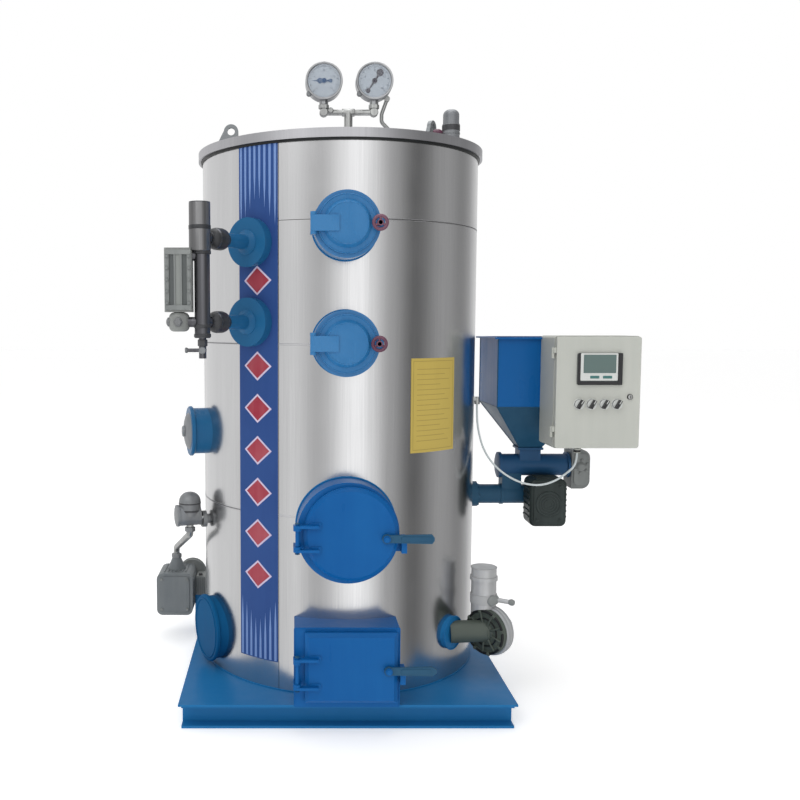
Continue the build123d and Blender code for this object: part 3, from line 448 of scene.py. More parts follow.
pipeSteel = brushed("pipeSteel", (0.5, 0.51, 0.5), (0.3, 0.3, 0.3), 90.0, 0.7, (0.32, 0.5))
caseSteel = brushed("caseSteel", (0.42, 0.43, 0.44), (0.28, 0.28, 0.29), 60.0, 0.6, (0.25, 0.4))
castSteel = painted("castSteel", (0.27, 0.285, 0.3), (0.17, 0.17, 0.17), 0.8, (0.38, 0.55), 0.4, 0.7, 0.5, 0.55)
darkSteel = painted("darkSteel", (0.032, 0.034, 0.038), (0.1, 0.1, 0.105), 0.6, (0.32, 0.5), 0.4, 0.5, 0.4, 0.3)
columnSteel = brushed("columnSteel", (0.2, 0.2, 0.215), (0.1, 0.1, 0.11), 120.0, 0.8, (0.3, 0.48))
headSteel = brushed("headSteel", (0.33, 0.33, 0.335), (0.15, 0.15, 0.155), 90.0, 0.8, (0.32, 0.5))
lugSteel = painted("lugSteel", (0.32, 0.34, 0.35), (0.18, 0.19, 0.2), 0.7, (0.4, 0.55), 0.3, 0.5, 0.4, 0.5)
boxGrey = painted("boxGrey", (0.5, 0.51, 0.47), (0.42, 0.44, 0.4), 0.45, (0.42, 0.55), 0.3, 0.25, 0.2)
fanGrey = painted("fanGrey", (0.47, 0.475, 0.48), (0.34, 0.345, 0.345), 0.6, (0.4, 0.55), 0.3)
castGrey = painted("castGrey", (0.27, 0.285, 0.28), (0.15, 0.16, 0.16), 0.8, (0.4, 0.6), 0.3, 0.7, 0.5)
glassGrey = painted("glassGrey", (0.17, 0.18, 0.175), (0.3, 0.31, 0.3), 0.8, (0.35, 0.55), 0.35, 0.7, 0.5)
valveGrey = painted("valveGrey", (0.2, 0.21, 0.225), (0.34, 0.35, 0.36), 0.8, (0.38, 0.55), 0.4, 0.7, 0.5, 0.4)
ductPale = painted("ductPale", (0.52, 0.525, 0.53), (0.4, 0.405, 0.41), 0.7, (0.3, 0.45), 0.4, 0.4, 0.3, 0.3)
caseGrey = painted("caseGrey", (0.36, 0.37, 0.385), (0.5, 0.51, 0.52), 0.7, (0.35, 0.5), 0.4, 0.5, 0.4, 0.3)
pumpGrey = painted("pumpGrey", (0.13, 0.148, 0.16), (0.22, 0.235, 0.24), 0.6, (0.4, 0.55), 0.3, 0.6, 0.4)
motorGreen = painted("motorGreen", (0.014, 0.022, 0.021), (0.045, 0.06, 0.058), 0.7, (0.3, 0.48), 0.25, 0.6, 0.4)
faceGreen = painted("faceGreen", (0.045, 0.058, 0.05), (0.1, 0.12, 0.1), 0.9, (0.38, 0.55), 0.35, 0.8, 0.5)
blackPaint = painted("blackPaint", (0.008, 0.009, 0.01), (0.025, 0.027, 0.027), 0.5, (0.3, 0.5), 0.3)
knobRed = painted("knobRed", (0.1, 0.03, 0.06), (0.2, 0.09, 0.13), 0.8, (0.3, 0.45), 0.4)
lining = painted("liningSoot", (0.05, 0.045, 0.04), (0.02, 0.018, 0.016), 0.7, (0.7, 0.85), 0.1, 0.8, 0.6)
ironDark = painted("ironDark", (0.07, 0.06, 0.055), (0.14, 0.08, 0.05), 0.6, (0.6, 0.8), 0.2, 0.8, 0.6)
dialWhite = painted("dialWhite", (0.37, 0.415, 0.475), (0.3, 0.34, 0.4), 0.5, (0.35, 0.45), 0.3, 0.1, 0.05)
dialInk = painted("dialInk", (0.04, 0.05, 0.08), (0.08, 0.09, 0.12), 0.3, (0.4, 0.5), 0.2, 0.1, 0.05)
needleBlue = painted("needleBlue", (0.012, 0.055, 0.15), (0.02, 0.08, 0.2), 0.4, (0.35, 0.45), 0.3, 0.1, 0.05)
needleDark = painted("needleDark", (0.018, 0.013, 0.032), (0.04, 0.03, 0.06), 0.4, (0.35, 0.45), 0.3, 0.1, 0.05)
plasticBlack = painted("plasticBlack", (0.014, 0.014, 0.016), (0.04, 0.04, 0.042), 0.5, (0.35, 0.5), 0.35)
plasticWhite = painted("plasticWhite", (0.62, 0.64, 0.62), (0.54, 0.56, 0.54), 0.3, (0.35, 0.45), 0.3, 0.1, 0.1)
bezelGrey = painted("bezelGrey", (0.075, 0.085, 0.085), (0.13, 0.14, 0.14), 0.5, (0.35, 0.5), 0.3, 0.1, 0.1)
screenDark = painted("screenDark", (0.105, 0.115, 0.112), (0.07, 0.16, 0.145), 0.7, (0.12, 0.2), 0.5, 0.1, 0.05)
tealInk = painted("tealInk", (0.05, 0.2, 0.18), (0.08, 0.14, 0.14), 0.6, (0.4, 0.5), 0.2, 0.1, 0.1)
sheathWhite = painted("sheathWhite", (0.62, 0.67, 0.68), (0.46, 0.51, 0.52), 0.5, (0.35, 0.5), 0.3, 0.1, 0.1)
waterTint = painted("waterTint", (0.16, 0.18, 0.17), (0.3, 0.31, 0.3), 0.7, (0.12, 0.25), 0.5, 0.1, 0.1)
floorPale = painted("floorPale", (0.9, 0.9, 0.9), (0.89, 0.89, 0.89), 0.3, (0.8, 0.9), 0.1, 0.0, 0.0)
floorShader = floorPale.node_tree.nodes["Principled BSDF"]
floorShader.inputs["Emission Color"].default_value = (1.0, 1.0, 1.0, 1.0)
floorShader.inputs["Emission Strength"].default_value = 0.36

glassClear = bpy.data.materials.new("glassClear")
glassClear.use_nodes = True
glassShader = glassClear.node_tree.nodes["Principled BSDF"]
for key, value in {"Base Color": (0.9, 0.95, 0.95, 1.0), "Roughness": 0.05, "Alpha": 0.06, "IOR": 1.45}.items():
    glassShader.inputs[key].default_value = value

finishes = (
    (frameBlue, "base_plate base_end_channels base_side_channels base_cross_member pump_pedestal "
                "blower_port"),
    (ironDark, "ash_floor fire_grate"),
    (lining, "drum_wall front_wall_ash_jambs front_wall_fire_row front_wall_lower_hatch_row "
             "front_wall_upper_hatch_row"),
    (steelSheet, "cladding_left cladding_right"),
    (steelRim, "drum_lid top_rim"),
    (lugSteel, "lifting_lugs"),
    (doorBlue, "fire_door_frame fire_door ash_door_frame ash_door hopper_bin"),
    (feedBlue, "fire_door_lever ash_door_lever hopper_cone feed_tube"),
    (hatchBlue, "upper_hatch_frame upper_hatch_cover lower_hatch_frame lower_hatch_cover"),
    (knobRed, "upper_hatch_knob lower_hatch_knob"),
    (pipeSteel, "gauge_manifold impulse_pipe water_pipe flue_collar drum_gland"),
    (caseSteel, "pressure_gauges"),
    (valveGrey, "safety_valve"),
    (portBlue, "level_pads mid_port"),
    (columnSteel, "level_column"),
    (glassGrey, "sight_glass"),
    (capBlue, "low_port"),
    (castSteel, "check_valve"),
    (pumpGrey, "pump_motor"),
    (castGrey, "pump_head feed_gearing"),
    (deepBlue, "screw_trough"),
    (motorGreen, "feed_motor"),
    (boxGrey, "control_box control_box_door"),
    (bezelGrey, "control_display"),
    (plasticBlack, "control_switches"),
    (caseGrey, "blower_housing"),
    (darkSteel, "blower_motor"),
    (faceGreen, "blower_neck"),
    (ductPale, "blower_duct"),
    (sheathWhite, "signal_cable"),
)
nodeMaterials = {name: material for material, names in finishes for name in names.split()}
for nodeName, node in nodes.items():
    if node.type == "MESH":
        node.data.materials.clear()
        node.data.materials.append(nodeMaterials[nodeName])
        shadeByAngle(node.data, 30.0)

cableCurve = bpy.data.curves.new("signalCable", "CURVE")
cableCurve.dimensions = "3D"
cableCurve.bevel_depth = cable["diameter"] / 2
cableCurve.bevel_resolution = 6
cableCurve.resolution_u = 16
spline = cableCurve.splines.new("NURBS")
spline.points.add(len(cable["points"]) - 1)
for point, place in zip(spline.points, cable["points"]):
    point.co = (place[0] * mm, place[1] * mm, place[2] * mm, 1.0)
spline.order_u = 3
spline.use_endpoint_u = True
cablePiece = linkPiece(bpy.data.objects.new("signalCable", cableCurve), sheathWhite, root)
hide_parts("signal_cable")

print("banner and plate")
shellR = 475.0
banner = {
    "left": -134.4, "right": -116.3, "low": 166.0, "high": 1787.0, "thick": 0.4,
    "stripes": 8, "stripeWidth": 1.05, "topReach": 150.0, "topSlope": 96.0, "lowReach": 118.0, "lowSlope": 76.0,
    "lozengeTop": 1372.0, "lozengeStep": 133.0, "lozengeCount": 8, "lozengeHalf": (6.4, 46.0), "rim": 0.84,
}
Shape().patch(banner["left"], banner["right"], banner["low"], banner["high"], shellR + 0.3,
              banner["thick"], 14, 24).make("bannerBand", bannerBlue)
bannerTop = shellR + 0.3 + banner["thick"]
stripes = Shape()
pitch = (banner["right"] - banner["left"]) / banner["stripes"]
half = banner["stripeWidth"] / 2
for i in range(banner["stripes"]):
    middle = banner["left"] + pitch * (i + 0.5)
    side = abs(2 * i / (banner["stripes"] - 1) - 1)
    for edge, way, reach in ((banner["high"] - 3, -1, banner["topReach"] + banner["topSlope"] * side),
                             (banner["low"] + 3, 1, banner["lowReach"] + banner["lowSlope"] * side)):
        tip, neck = edge + way * reach, edge + way * (reach - 70)
        outline = [(middle - half, edge), (middle + half, edge), (middle + half * 0.8, neck), (middle, tip),
                   (middle - half * 0.8, neck)]
        stripes.slab(outline if way > 0 else outline[::-1], onDrum(bannerTop), 0.25)
stripes.make("bannerStripes", bannerPale)
marks, rims = Shape(), Shape()
middle = (banner["left"] + banner["right"]) / 2
halfAngle, halfHeight = banner["lozengeHalf"]
for i in range(banner["lozengeCount"]):
    z = banner["lozengeTop"] - banner["lozengeStep"] * i
    for shape, share, lift in ((rims, 1.0, 0.25), (marks, banner["rim"], 0.45)):
        shape.lozenge(middle, z, halfAngle * share, halfHeight * share, bannerTop, lift)
rims.make("bannerLozengeRims", bannerWhite)
marks.make("bannerLozenges", bannerRed)

plate = {"left": -65.0, "right": -42.0, "low": 836.0, "high": 1131.0, "thick": 0.8,
         "rules": 15, "ruleHeight": 2.0, "rulePitch": 16.0, "edgeIn": 0.9, "lineWide": 0.22}
Shape().patch(plate["left"], plate["right"], plate["low"], plate["high"], shellR + 0.3,
              plate["thick"], 14, 2).make("yellowPlate", plateYellow)
rules = Shape()
plateTop = shellR + 0.3 + plate["thick"]
a0, a1 = plate["left"] + plate["edgeIn"], plate["right"] - plate["edgeIn"]
for left, right, low, high in ((a0, a1, plate["high"] - 10, plate["high"] - 8),
                               (a0, a1, plate["low"] + 8, plate["low"] + 10),
                               (a0, a0 + plate["lineWide"], plate["low"] + 10, plate["high"] - 10),
                               (a1 - plate["lineWide"], a1, plate["low"] + 10, plate["high"] - 10)):
    rules.patch(left, right, low, high, plateTop, 0.2, 10)
for i in range(plate["rules"]):
    z = plate["high"] - 34 - i * plate["rulePitch"]
    rules.patch(plate["left"] + 2.6, plate["right"] - 2.6 - (0.0, 3.5, 1.0, 6.0)[i % 4],
                z - plate["ruleHeight"] / 2, z + plate["ruleHeight"] / 2, plateTop, 0.15, 8)
rules.make("yellowPlateRules", plateInk)

print("drum trim")
drum = {"top": 1790.0, "bottom": 78.0,
        # Seams stop at the necks that they meet, so none crosses an open hatch.
        "foldSink": 0.3, "folds": ((-79.3, 91.0, 1552.0), (93.0, 250.6, 640.0), (93.0, 256.7, 1175.0))}
# A black band just under the rim's overhang: painted shadow standing in for the shade the rim casts on the drum.
Shape().hoop((0, 0, drum["top"]), up, [(shellR + 0.4, -6.5), (shellR + 4.5, -6.5), (shellR + 6.0, -0.4),
                                             (shellR + 0.4, -0.4)], 160).make("rimShadowBand", blackPaint)
seams = Shape()
foldR = shellR - drum["foldSink"]
for a0, a1, z in drum["folds"]:
    for offset in (-2.2, 2.2):
        seams.bead([drumPoint(foldR, a0 + (a1 - a0) * i / 64, z + offset) for i in range(65)], 0.9, 6, closed=False)
seams.bead([drumPoint(foldR, 92.0, drum["bottom"] + 1 + 71 * i) for i in range(25)], 1.1, 6, closed=False)
seams.make("claddingFolds", steelRim)
Shape().bead([drumPoint(shellR + 1.5, 3 * i, drum["bottom"] + 1.5) for i in range(120)], 2.5).make(
    "drumFootBead", frameBlue)
studs = Shape()
for azimuth in range(-170, 190, 20):
    studs.bolt(drumPoint(462, azimuth, 1798.0), up, 13, 8, 1.5)
studs.make("lidBolts", pipeSteel)

print("doors and hatches")
doors = {"pinX": -152.0, "pinR": 7.5, "fireX": 8.0, "fireZ": 615.0, "hatchX": -8.0, "hatchZs": (1526.0, 1180.0),
         "hinges": (("fire_door", -596.0, 606.0, 36.0, -590.2), ("ash_door", -591.0, 193.0, 43.0, -585.2))}
welds = Shape()
welds.bead(saddle(0, doors["fireZ"], 154.5, shellR + 1), 3.0)
for z in doors["hatchZs"]:
    welds.bead(saddle(doors["hatchX"], z, 99.5, shellR + 1), 2.6)
welds.make("neckWelds", frameBlue)
pins = Shape()
for body, y, z, halfGap, face in doors["hinges"]:
    for way in (-1, 1):
        pins.lathe((doors["pinX"], y, z + way * (halfGap + 4)), (0, 0, way),
                   [(4, -2), (4, 4.2), (doors["pinR"], 4.2), (doors["pinR"], 6.5), (4, 8)], 20)
    pads = Shape()
    for way in (-1, 1):
        middle = z + way * halfGap
        pads.panel(-112, -80, middle - 11, middle + 11, 5, face, 3.0)
    pads.make(body + ".hingePads", doorBlue, body, bevel=1.0)
pins.make("hingePinHeads", feedBlue)
for body, leverBody, x, cap, z, tip in (("fire_door", "fire_lever", 112.0, -608.0, 606.0, 246.0),
                                        ("ash_door", "ash_lever", 122.0, -603.0, 203.0, 250.0)):
    Shape().bolt((x, cap, z), forward, 14, 4, 1.0).make(body + ".leverNut", doorBlue, body)
    Shape().panel(tip - 92, tip, z - 8, z + 8, 7, cap + 4.3, 2.2).make(
        leverBody + ".grip", feedBlue, leverBody, bevel=1.0)
Shape().ring((doors["fireX"], -579.2, doors["fireZ"]), backward, 140.4, 1.6, 96).make(
    "fireDoorLip", doorBlue, "fire_door")
Shape().bead([(x, -571.0, z) for x, z in roundedRect(-127.6, 149.6, 97.4, 312.6, 4)], 1.4).make(
    "ashDoorLip", doorBlue, "ash_door")
boxEdges = Shape()
boxEdges.bead([(-160.4, -560.0, 323.0), (158.4, -560.0, 323.0)], 2.4, 8, closed=False)
for x in (-160.0, 158.0):
    boxEdges.bead([(x, -560.0, 82.0), (x, -560.0, 322.0)], 2.0, 8, closed=False)
boxEdges.make("ashBoxEdges", doorBlue)
for side, z in zip(("upper", "lower"), doors["hatchZs"]):
    x, body, knob = doors["hatchX"], side + "_hatch", side + "_knob"
    rolls = Shape()
    rolls.ring((x, -586.2, z), backward, 84.5, 1.8, 72)
    rolls.ring((x, -601.0, z), backward, 60.0, 1.6, 64)
    rolls.make(side + "CoverRolls", hatchBlue, body)
    Shape().lathe((x + 92, -615.0, z), forward, [(8.0, -0.5), (8.0, 0.0), (6.0, 0.3)], 24).make(
        side + "WheelCap", knobRed, knob)
    Shape().ring((x + 92, -610.3, z), backward, 21.6, 2.6, 40).make(side + "WheelRim", plasticBlack, knob)

print("gauges and valve")
gauge = {"y": -360.0, "z": 1979.0, "xs": (-69.0, 86.0), "front": -383.0, "dial": -379.4, "pipeZ": 1888.0,
         "numbers": ("0", "4", "8", "12", "16")}
for side, x in zip(("left", "right"), gauge["xs"]):
    y, z = gauge["dial"], gauge["z"]
    Shape().lathe((x, y + 0.6, z), forward, [(51.6, 0), (51.6, 1.2)], 72).make(side + "Dial", dialWhite)
    Shape().hoop((x, gauge["front"], z), forward, [(50, -3), (56.8, -3), (57.0, 0), (55.6, 2.2), (52.2, 2.4),
                                                     (50, 0.5)], 72).make(side + "Bezel", caseSteel)
    ticks = Shape()
    for i in range(51):
        a = math.radians(225 - 270 * i / 50)
        length, halfWide = (8.0, 0.7) if i % 5 == 0 else (4.0, 0.35)
        c, s = math.cos(a), math.sin(a)
        ends = [(x + r * c - w * s, z + r * s + w * c) for r, w in
                ((46, -halfWide), (46, halfWide), (46 - length, halfWide), (46 - length, -halfWide))]
        ticks.slab(ends, onFront(y - 0.6), 0.3)
    ticks.make(side + "Ticks", dialInk)
    Shape().lathe((x, gauge["front"] + 1.2, z), forward, [(51.0, 0), (51.0, 0.6), (30, 1.6), (1, 2.0)],
                  72).make(side + "Glass", glassClear)
    Shape().lathe((x - 46, -374, z - 37), forward, [(8, -8), (8, 2), (6.5, 4)], 24).make(
        side + "CaseEar", castSteel)
    for i, label in enumerate(gauge["numbers"]):
        a = math.radians(225 - 270 * i / 4)
        text = bpy.data.curves.new(side + "Number" + label, "FONT")
        text.body = label
        text.size = 0.009
        text.extrude = 0.0001
        text.align_x = "CENTER"
        text.align_y = "CENTER"
        number = linkPiece(bpy.data.objects.new(side + "Number" + label, text), dialInk, root)
        number.location = ((x + 31.5 * math.cos(a)) * mm, (y - 0.9) * mm, (z + 31.5 * math.sin(a)) * mm)
        number.rotation_euler = (math.pi / 2, 0, 0)


def needle(name, x, angle, length, tail, wide, blobs, material):
    # A tapered pointer with a hub and a round counterweight.
    a = math.radians(angle)
    c, s = math.cos(a), math.sin(a)
    z, y = gauge["z"], gauge["dial"]

    def at(along, across):
        return (x + along * c - across * s, z + along * s + across * c)

    shape = Shape()
    shape.slab([at(-tail, -wide), at(length * 0.6, -wide * 0.7), at(length, 0), at(length * 0.6, wide * 0.7),
                at(-tail, wide)],
               onFront(y - 1.2), 0.6)
    shape.lathe((x, y - 0.6, z), forward, [(8, 0), (8, 1.4), (5, 2.0)], 28)
    for along, blob in blobs:
        bx, bz = at(along, 0)
        shape.lathe((bx, y - 0.6, bz), forward, [(blob, 0), (blob, 1.4)], 28)
    shape.make(name, material)


needle("leftNeedle", gauge["xs"][0], 180, 38, 20, 3.0, ((-20, 5.5), (13, 8.5)), needleBlue)
needle("rightNeedle", gauge["xs"][1], -124, 40, 30, 3.6, ((-29, 11.0), (36, 7.0)), needleDark)

fittings = Shape()
for x in gauge["xs"]:
    fittings.lathe((x, gauge["y"], 1898), up, [(15, 0), (16.5, 2), (16.5, 12), (15, 14)], 6)
    fittings.lathe((x, gauge["y"], gauge["pipeZ"]), backward, [(11.5, -12), (13, -9), (13, 9), (11.5, 12)], 24)
fittings.lathe((7, gauge["y"], gauge["pipeZ"]), rightward, [(11, -20), (12, -17), (12, 17), (11, 20)], 28)
fittings.lathe((7, gauge["y"], 1798), up, [(21, 0), (21, 8), (17, 11)], 6)
fittings.lathe((-48, -374, 1891), forward, [(8, -10), (9, -2), (9, 3), (6, 6)], 20)
fittings.make("manifoldFittings", pipeSteel, bevel=0.8)

valve = {"x": 371.0, "y": -100.0, "base": 1798.0, "outletZ": 1855.0}
centre = (valve["x"], valve["y"], valve["base"])
bonnet = Shape()
bonnet.lathe(centre, up, [(34, 0), (34, 10), (30, 12), (24, 14)], 8)
bonnet.lathe(centre, up, [(24, 36), (33, 38), (33, 50), (30, 52)], 6)
bonnet.hoop(centre, up, [(28, 76), (30.4, 76), (30.4, 82), (28, 82)], 40)
bonnet.make("valveHexes", castSteel, bevel=0.8)
Shape().hoop(centre, up, [(28.5, 88), (30.2, 88), (30.2, 106), (28.5, 106)], 40).make("valveBand", darkSteel)
Shape().lathe((valve["x"] - 27, valve["y"], 1880), leftward, [(6, -6), (6, 3), (10, 6), (13, 14), (13, 24), (9, 33)],
              24).make("valveLiftGrip", knobRed)
Shape().lathe((valve["x"] - 44.2, valve["y"], valve["outletZ"]), leftward,
              [(16.5, -14), (17.5, -12), (17.5, -2), (15, 0), (10, 0.2), (9.5, -6)], 24).make(
    "valveOutlet", knobRed)

print("level gauge")
level = {"azimuth": -128.0, "column": 700.0, "unions": (601.0, 659.0), "unionR": 32.5, "zs": (1243.0, 1489.0),
         "boxShift": 68.0, "boxDepth": 23.0, "low": 1272.0, "high": 1458.0}
columnAt = drumPoint(level["column"], level["azimuth"], 0.0)
outward = drumOut(level["azimuth"])
unions, sleeves = Shape(), Shape()
for z in level["zs"]:
    low, high = level["unions"]
    r = level["unionR"]
    unions.lathe((0, 0, z), outward, [
        (18, low - 12), (20, low - 6), (r * 0.72, low - 0.5), (r * 0.93, low + 8), (r + 0.4, low + 18),
        (r + 0.4, high - 18), (r * 0.93, high - 8), (r * 0.72, high + 0.5), (18, high + 5), (17, high + 10)], 36)
    sleeves.lathe((0, 0, z), outward,
                  [(40, 499), (38, 504), (27, 509), (23, 514), (21.5, low - 14), (19, low - 8)], 36)
unions.make("unionBalls", darkSteel)
sleeves.make("unionSleeves", portBlue)
cx, cy = columnAt.x, columnAt.y
bands = Shape()
for z, r in ((1198, 24.2), (1225, 24.2), (1440, 25.5)):
    bands.lathe((cx, cy, z), up, [(r - 1, 0), (r + 1, 1.5), (r + 1, 9), (r - 1, 11)], 40)
bands.lathe((cx, cy, 1172), up, [(13, 0), (14.5, 2), (14.5, 18), (13, 20)], 6)
bands.make("columnBands", darkSteel)
Shape().lathe((cx - 6, cy, 1452), up, [(30, -3), (31.8, -1), (31.8, 60), (31.4, 62), (31.4, 134), (30.5, 138.6)],
              44).make("columnHead", headSteel)
Shape().lathe((cx - 6, cy, 1512), up, [(32.2, 0), (32.6, 1), (32.6, 11), (32.2, 12)], 44).make(
    "headBand", darkSteel)
bx, front, low, high = cx - level["boxShift"], cy - level["boxDepth"], level["low"], level["high"]
frameShape, slots, clamps = Shape(), Shape(), Shape()
for x0, x1 in ((-38, -26), (26, 38), (-12, -7), (7, 12)):
    frameShape.panel(bx + x0, bx + x1, low + 6, high - 6, 2, front, 5.0)
for z in (low + 6, high - 20):
    frameShape.panel(bx - 38, bx + 38, z, z + 14, 3, front, 6.0)
for x0, x1 in ((-26, -12), (12, 26)):
    slots.panel(bx + x0, bx + x1, low + 20, high - 20, 1, front, 1.0)
for i in range(5):
    for dx in (-32, 32):
        clamps.bolt((bx + dx, front - 5, low + 26 + i * 33.6), forward, 8, 4, 0.8)
frameShape.make("glassFrame", castGrey, bevel=1.0)
slots.make("glassRecess", bezelGrey)
clamps.make("glassBolts", castGrey)
Shape().panel(bx - 7, bx + 7, low + 20, high - 20, 1, front, 2.0).make("glassStrip", waterTint)
cock = Shape()
cock.lathe((bx, cy, level["zs"][0]), forward, [(13, 20), (14, 30), (14, 36), (9, 40)], 6)
cock.lathe((bx, cy, level["zs"][0]), leftward, [(12, 24), (14, 30), (13, 34), (6, 38)], 20)
cock.lathe((cx, cy, 1160), forward, [(9, -14), (11, -12), (11, 12), (9, 15)], 20)
cock.lathe((cx - 50, cy, 1160), leftward, [(7, -6), (8.5, -2), (7, 2)], 16)
cock.make("cockCaps", castSteel, bevel=0.8)

print("side ports, water feed and pump")
inlet = {"azimuth": -162.0, "axis": 586.0, "bonnet": 541.0}
along = drumOut(inlet["azimuth"])
cap = drumPoint(inlet["bonnet"], inlet["azimuth"], 0)
midPort = {"face": drumPoint(537, -165, 872), "out": drumOut(-165)}
Shape().lathe(midPort["face"], midPort["out"],
              [(63, -0.5), (61, 3), (54, 8), (42, 12), (28, 14.5), (24, 15)], 56).make("midPortDome", valveGrey)
Shape().lathe(midPort["face"], midPort["out"], [(20, 13), (21, 15), (21, 20), (18, 22.5)], 6).make(
    "midPortNut", castSteel, bevel=0.8)
lowTrim = Shape().ring(drumPoint(507.4, -155, 207), drumOut(-155), 98, 2.4, 72)
lowTrim.make("lowPortTrim", capBlue)
checkHexes = Shape()
checkHexes.lathe((0, 0, inlet["axis"]), along, [(30, 505), (36.6, 507), (36.6, 513), (35, 515)], 8)
checkHexes.lathe((0, 0, inlet["axis"]), along, [(35, 578), (37, 580), (37, 588), (31, 590)], 40)
checkHexes.lathe((0, 0, 570), along, [(20, 500), (23, 502), (23, 508), (20, 510)], 6)
checkHexes.make("checkHexes", castSteel, bevel=0.8)
rings = Shape()
rings.hoop((cap.x, cap.y, 600), up, [(36.5, 0), (39, 1), (39, 6), (36.5, 7)], 40)
rings.hoop((cap.x, cap.y, 626), up, [(36.5, 0), (38, 1), (38, 4), (36.5, 5)], 40)
rings.make("checkBonnetRings", darkSteel)
Shape().boltCircle(drumPoint(499, inlet["azimuth"], 570), along, 22, 4, 9, 5, 0.78, 1.0).make(
    "inletBolts", pipeSteel)
pump = {"x": -621.0, "front": 239.0, "low": 102.0, "high": 268.0, "halfWide": 70.0}
x0, x1 = pump["x"] - pump["halfWide"], pump["x"] + pump["halfWide"]
Shape().panel(x0 + 12, x1 - 12, pump["low"] + 12, pump["high"] - 12, 16, pump["front"], 4.0).make(
    "pumpEndCover", pumpGrey, bevel=1.5)
fins = Shape()
for i in range(9):
    z = pump["low"] + 30 + i * 13
    fins.box(x1 - 1, x1 + 3.5, pump["front"] + 20, pump["front"] + 140, z, z + 4)
for i in range(7):
    x = x0 + 26 + i * 14
    fins.box(x, x + 4, pump["front"] + 20, pump["front"] + 140, pump["high"] - 1, pump["high"] + 3.5)
fins.make("pumpFins", pumpGrey, bevel=0.6)
screws = Shape()
for dx in (-50, 50):
    for z in (pump["low"] + 24, pump["high"] - 24):
        screws.bolt((pump["x"] + dx, pump["front"] - 4, z), forward, 9, 4, 1.0)
screws.make("pumpScrews", castGrey)
casing = Shape()
for y, tube in ((412, 4.0), (391, 3.0)):
    casing.ring((-567, y, 232), backward, 50.5, tube, 56)
for i in range(6):
    casing.box(-547 + i * 7.4, -544 + i * 7.4, 311, 319, 164, 232)
casing.make("pumpCasing", castGrey, bevel=0.6)
footBolts = Shape()
for y in (330, 420):
    footBolts.bolt((-528, y, 236), up, 12, 7, 1.5)
footBolts.make("pumpFootBolts", darkSteel)
pipeUnions = Shape()
pipeUnions.lathe((-621, 314, 312), up, [(17, 0), (20, 2), (20, 16), (17, 18)], 6)
pipeUnions.lathe((cap.x, cap.y, 546), up, [(14, -18), (18, -16), (18, -2), (15, 0)], 6)
pipeUnions.make("waterPipeUnions", castSteel, bevel=0.8)

print("fuel feed")
hopper = {"left": 552.0, "right": 852.0, "front": -70.0, "back": 225.0, "knee": 947.0, "top": 1184.0,
          "throat": (664.0, 740.0, 42.5, 112.5, 787.0), "y": 77.5}
yc, knee, top = hopper["y"], hopper["knee"], hopper["top"]
left, right, front, back = hopper["left"], hopper["right"], hopper["front"], hopper["back"]
throatLeft, throatRight, throatFront, throatBack, throatZ = hopper["throat"]
folds = Shape()
for start, end, r in (((left, front, knee), (right, front, knee), 1.6),
                      ((left, front, knee), (left, back, knee), 1.6),
                      ((left, front, knee), (throatLeft, throatFront, throatZ), 2.2),
                      ((left, back, knee), (throatLeft, throatBack, throatZ), 2.2),
                      ((right, back, knee), (throatRight, throatBack, throatZ), 2.2),
                      ((left, front, knee), (left, front, top), 1.8),
                      ((left, back, knee), (left, back, top), 1.8)):
    folds.bead([start, end], r, 8, closed=False)
folds.make("hopperWelds", feedBlue)
Shape().slab(roundedRect(656, 748, 34.5, 120.5, 3), lambda x, y, depth: Vector((x, y, 782 + depth)), 8.0).make(
    "hopperFlange", deepBlue, bevel=1.0)
trough = Shape()
trough.lathe((590, yc, 722), leftward, [(47, -12), (47, -1), (40, 1.5), (12, 2.5)], 48)
trough.hoop((840, yc, 722), rightward, [(39, 0), (47, 0), (47, 9), (39, 9)], 48)
trough.make("troughFlanges", deepBlue)
tubeRings = Shape()
tubeRings.hoop((600, yc, 614), rightward, [(34, 0), (38, 0), (38, 10), (34, 10)], 40)
tubeRings.hoop((706, yc, 614), rightward, [(34, 0), (44, 0), (44, 12), (34, 12)], 40)
tubeRings.boltCircle((514.8, yc, 614), rightward, 39, 6, 10, 5, 0.5, 1.0)
tubeRings.make("feedTubeRings", feedBlue)
motor = {"x0": 678.0, "x1": 808.0, "z0": 520.0, "z1": 690.0, "front": -60.0}
Shape().panel(motor["x0"] + 12, motor["x1"] - 12, motor["z0"] + 12, motor["z1"] - 12, 14,
              motor["front"], 3.5).make("feedMotorCover", motorGreen, bevel=1.5)
ribs = Shape()
for i in range(6):
    z = motor["z0"] + 30 + i * 20
    ribs.box(motor["x0"] - 4, motor["x0"] + 1, motor["front"] + 16, 24, z, z + 7)
    ribs.box(motor["x1"] - 1, motor["x1"] + 4, motor["front"] + 16, 24, z, z + 7)
for i in range(5):
    y = motor["front"] + 18 + i * 14
    ribs.box(motor["x0"] + 26, motor["x1"] - 26, y, y + 5, motor["z1"] - 1, motor["z1"] + 4)
ribs.make("feedMotorRibs", motorGreen, bevel=0.8)
grille = Shape().ring((743, motor["front"] - 3.5, 602), backward, 44, 3.0, 48)
for i in range(4):
    r = 12 + i * 9
    grille.hoop((743, motor["front"] - 3.4, 602), forward, [(r, 0), (r + 3, 0), (r + 3, 2), (r, 2)], 40)
grille.make("feedMotorGrille", motorGreen)
screws = Shape()
for x in (motor["x0"] + 24, motor["x1"] - 24):
    for z in (motor["z0"] + 24, motor["z1"] - 24):
        screws.bolt((x, motor["front"] - 3.4, z), forward, 9, 4, 1.0)
screws.make("feedMotorScrews", motorGreen)
gearTrim = Shape()
gearTrim.panel(858, 908, 654, 770, 16, 29.5, 4.0)
gearTrim.boltCircle((882, 26, 722), forward, 24, 6, 9, 5, 0.4, 1.0)
gearTrim.lathe((882, 26, 722), forward, [(16, 0), (16, 3), (10, 8), (2, 9)], 28)
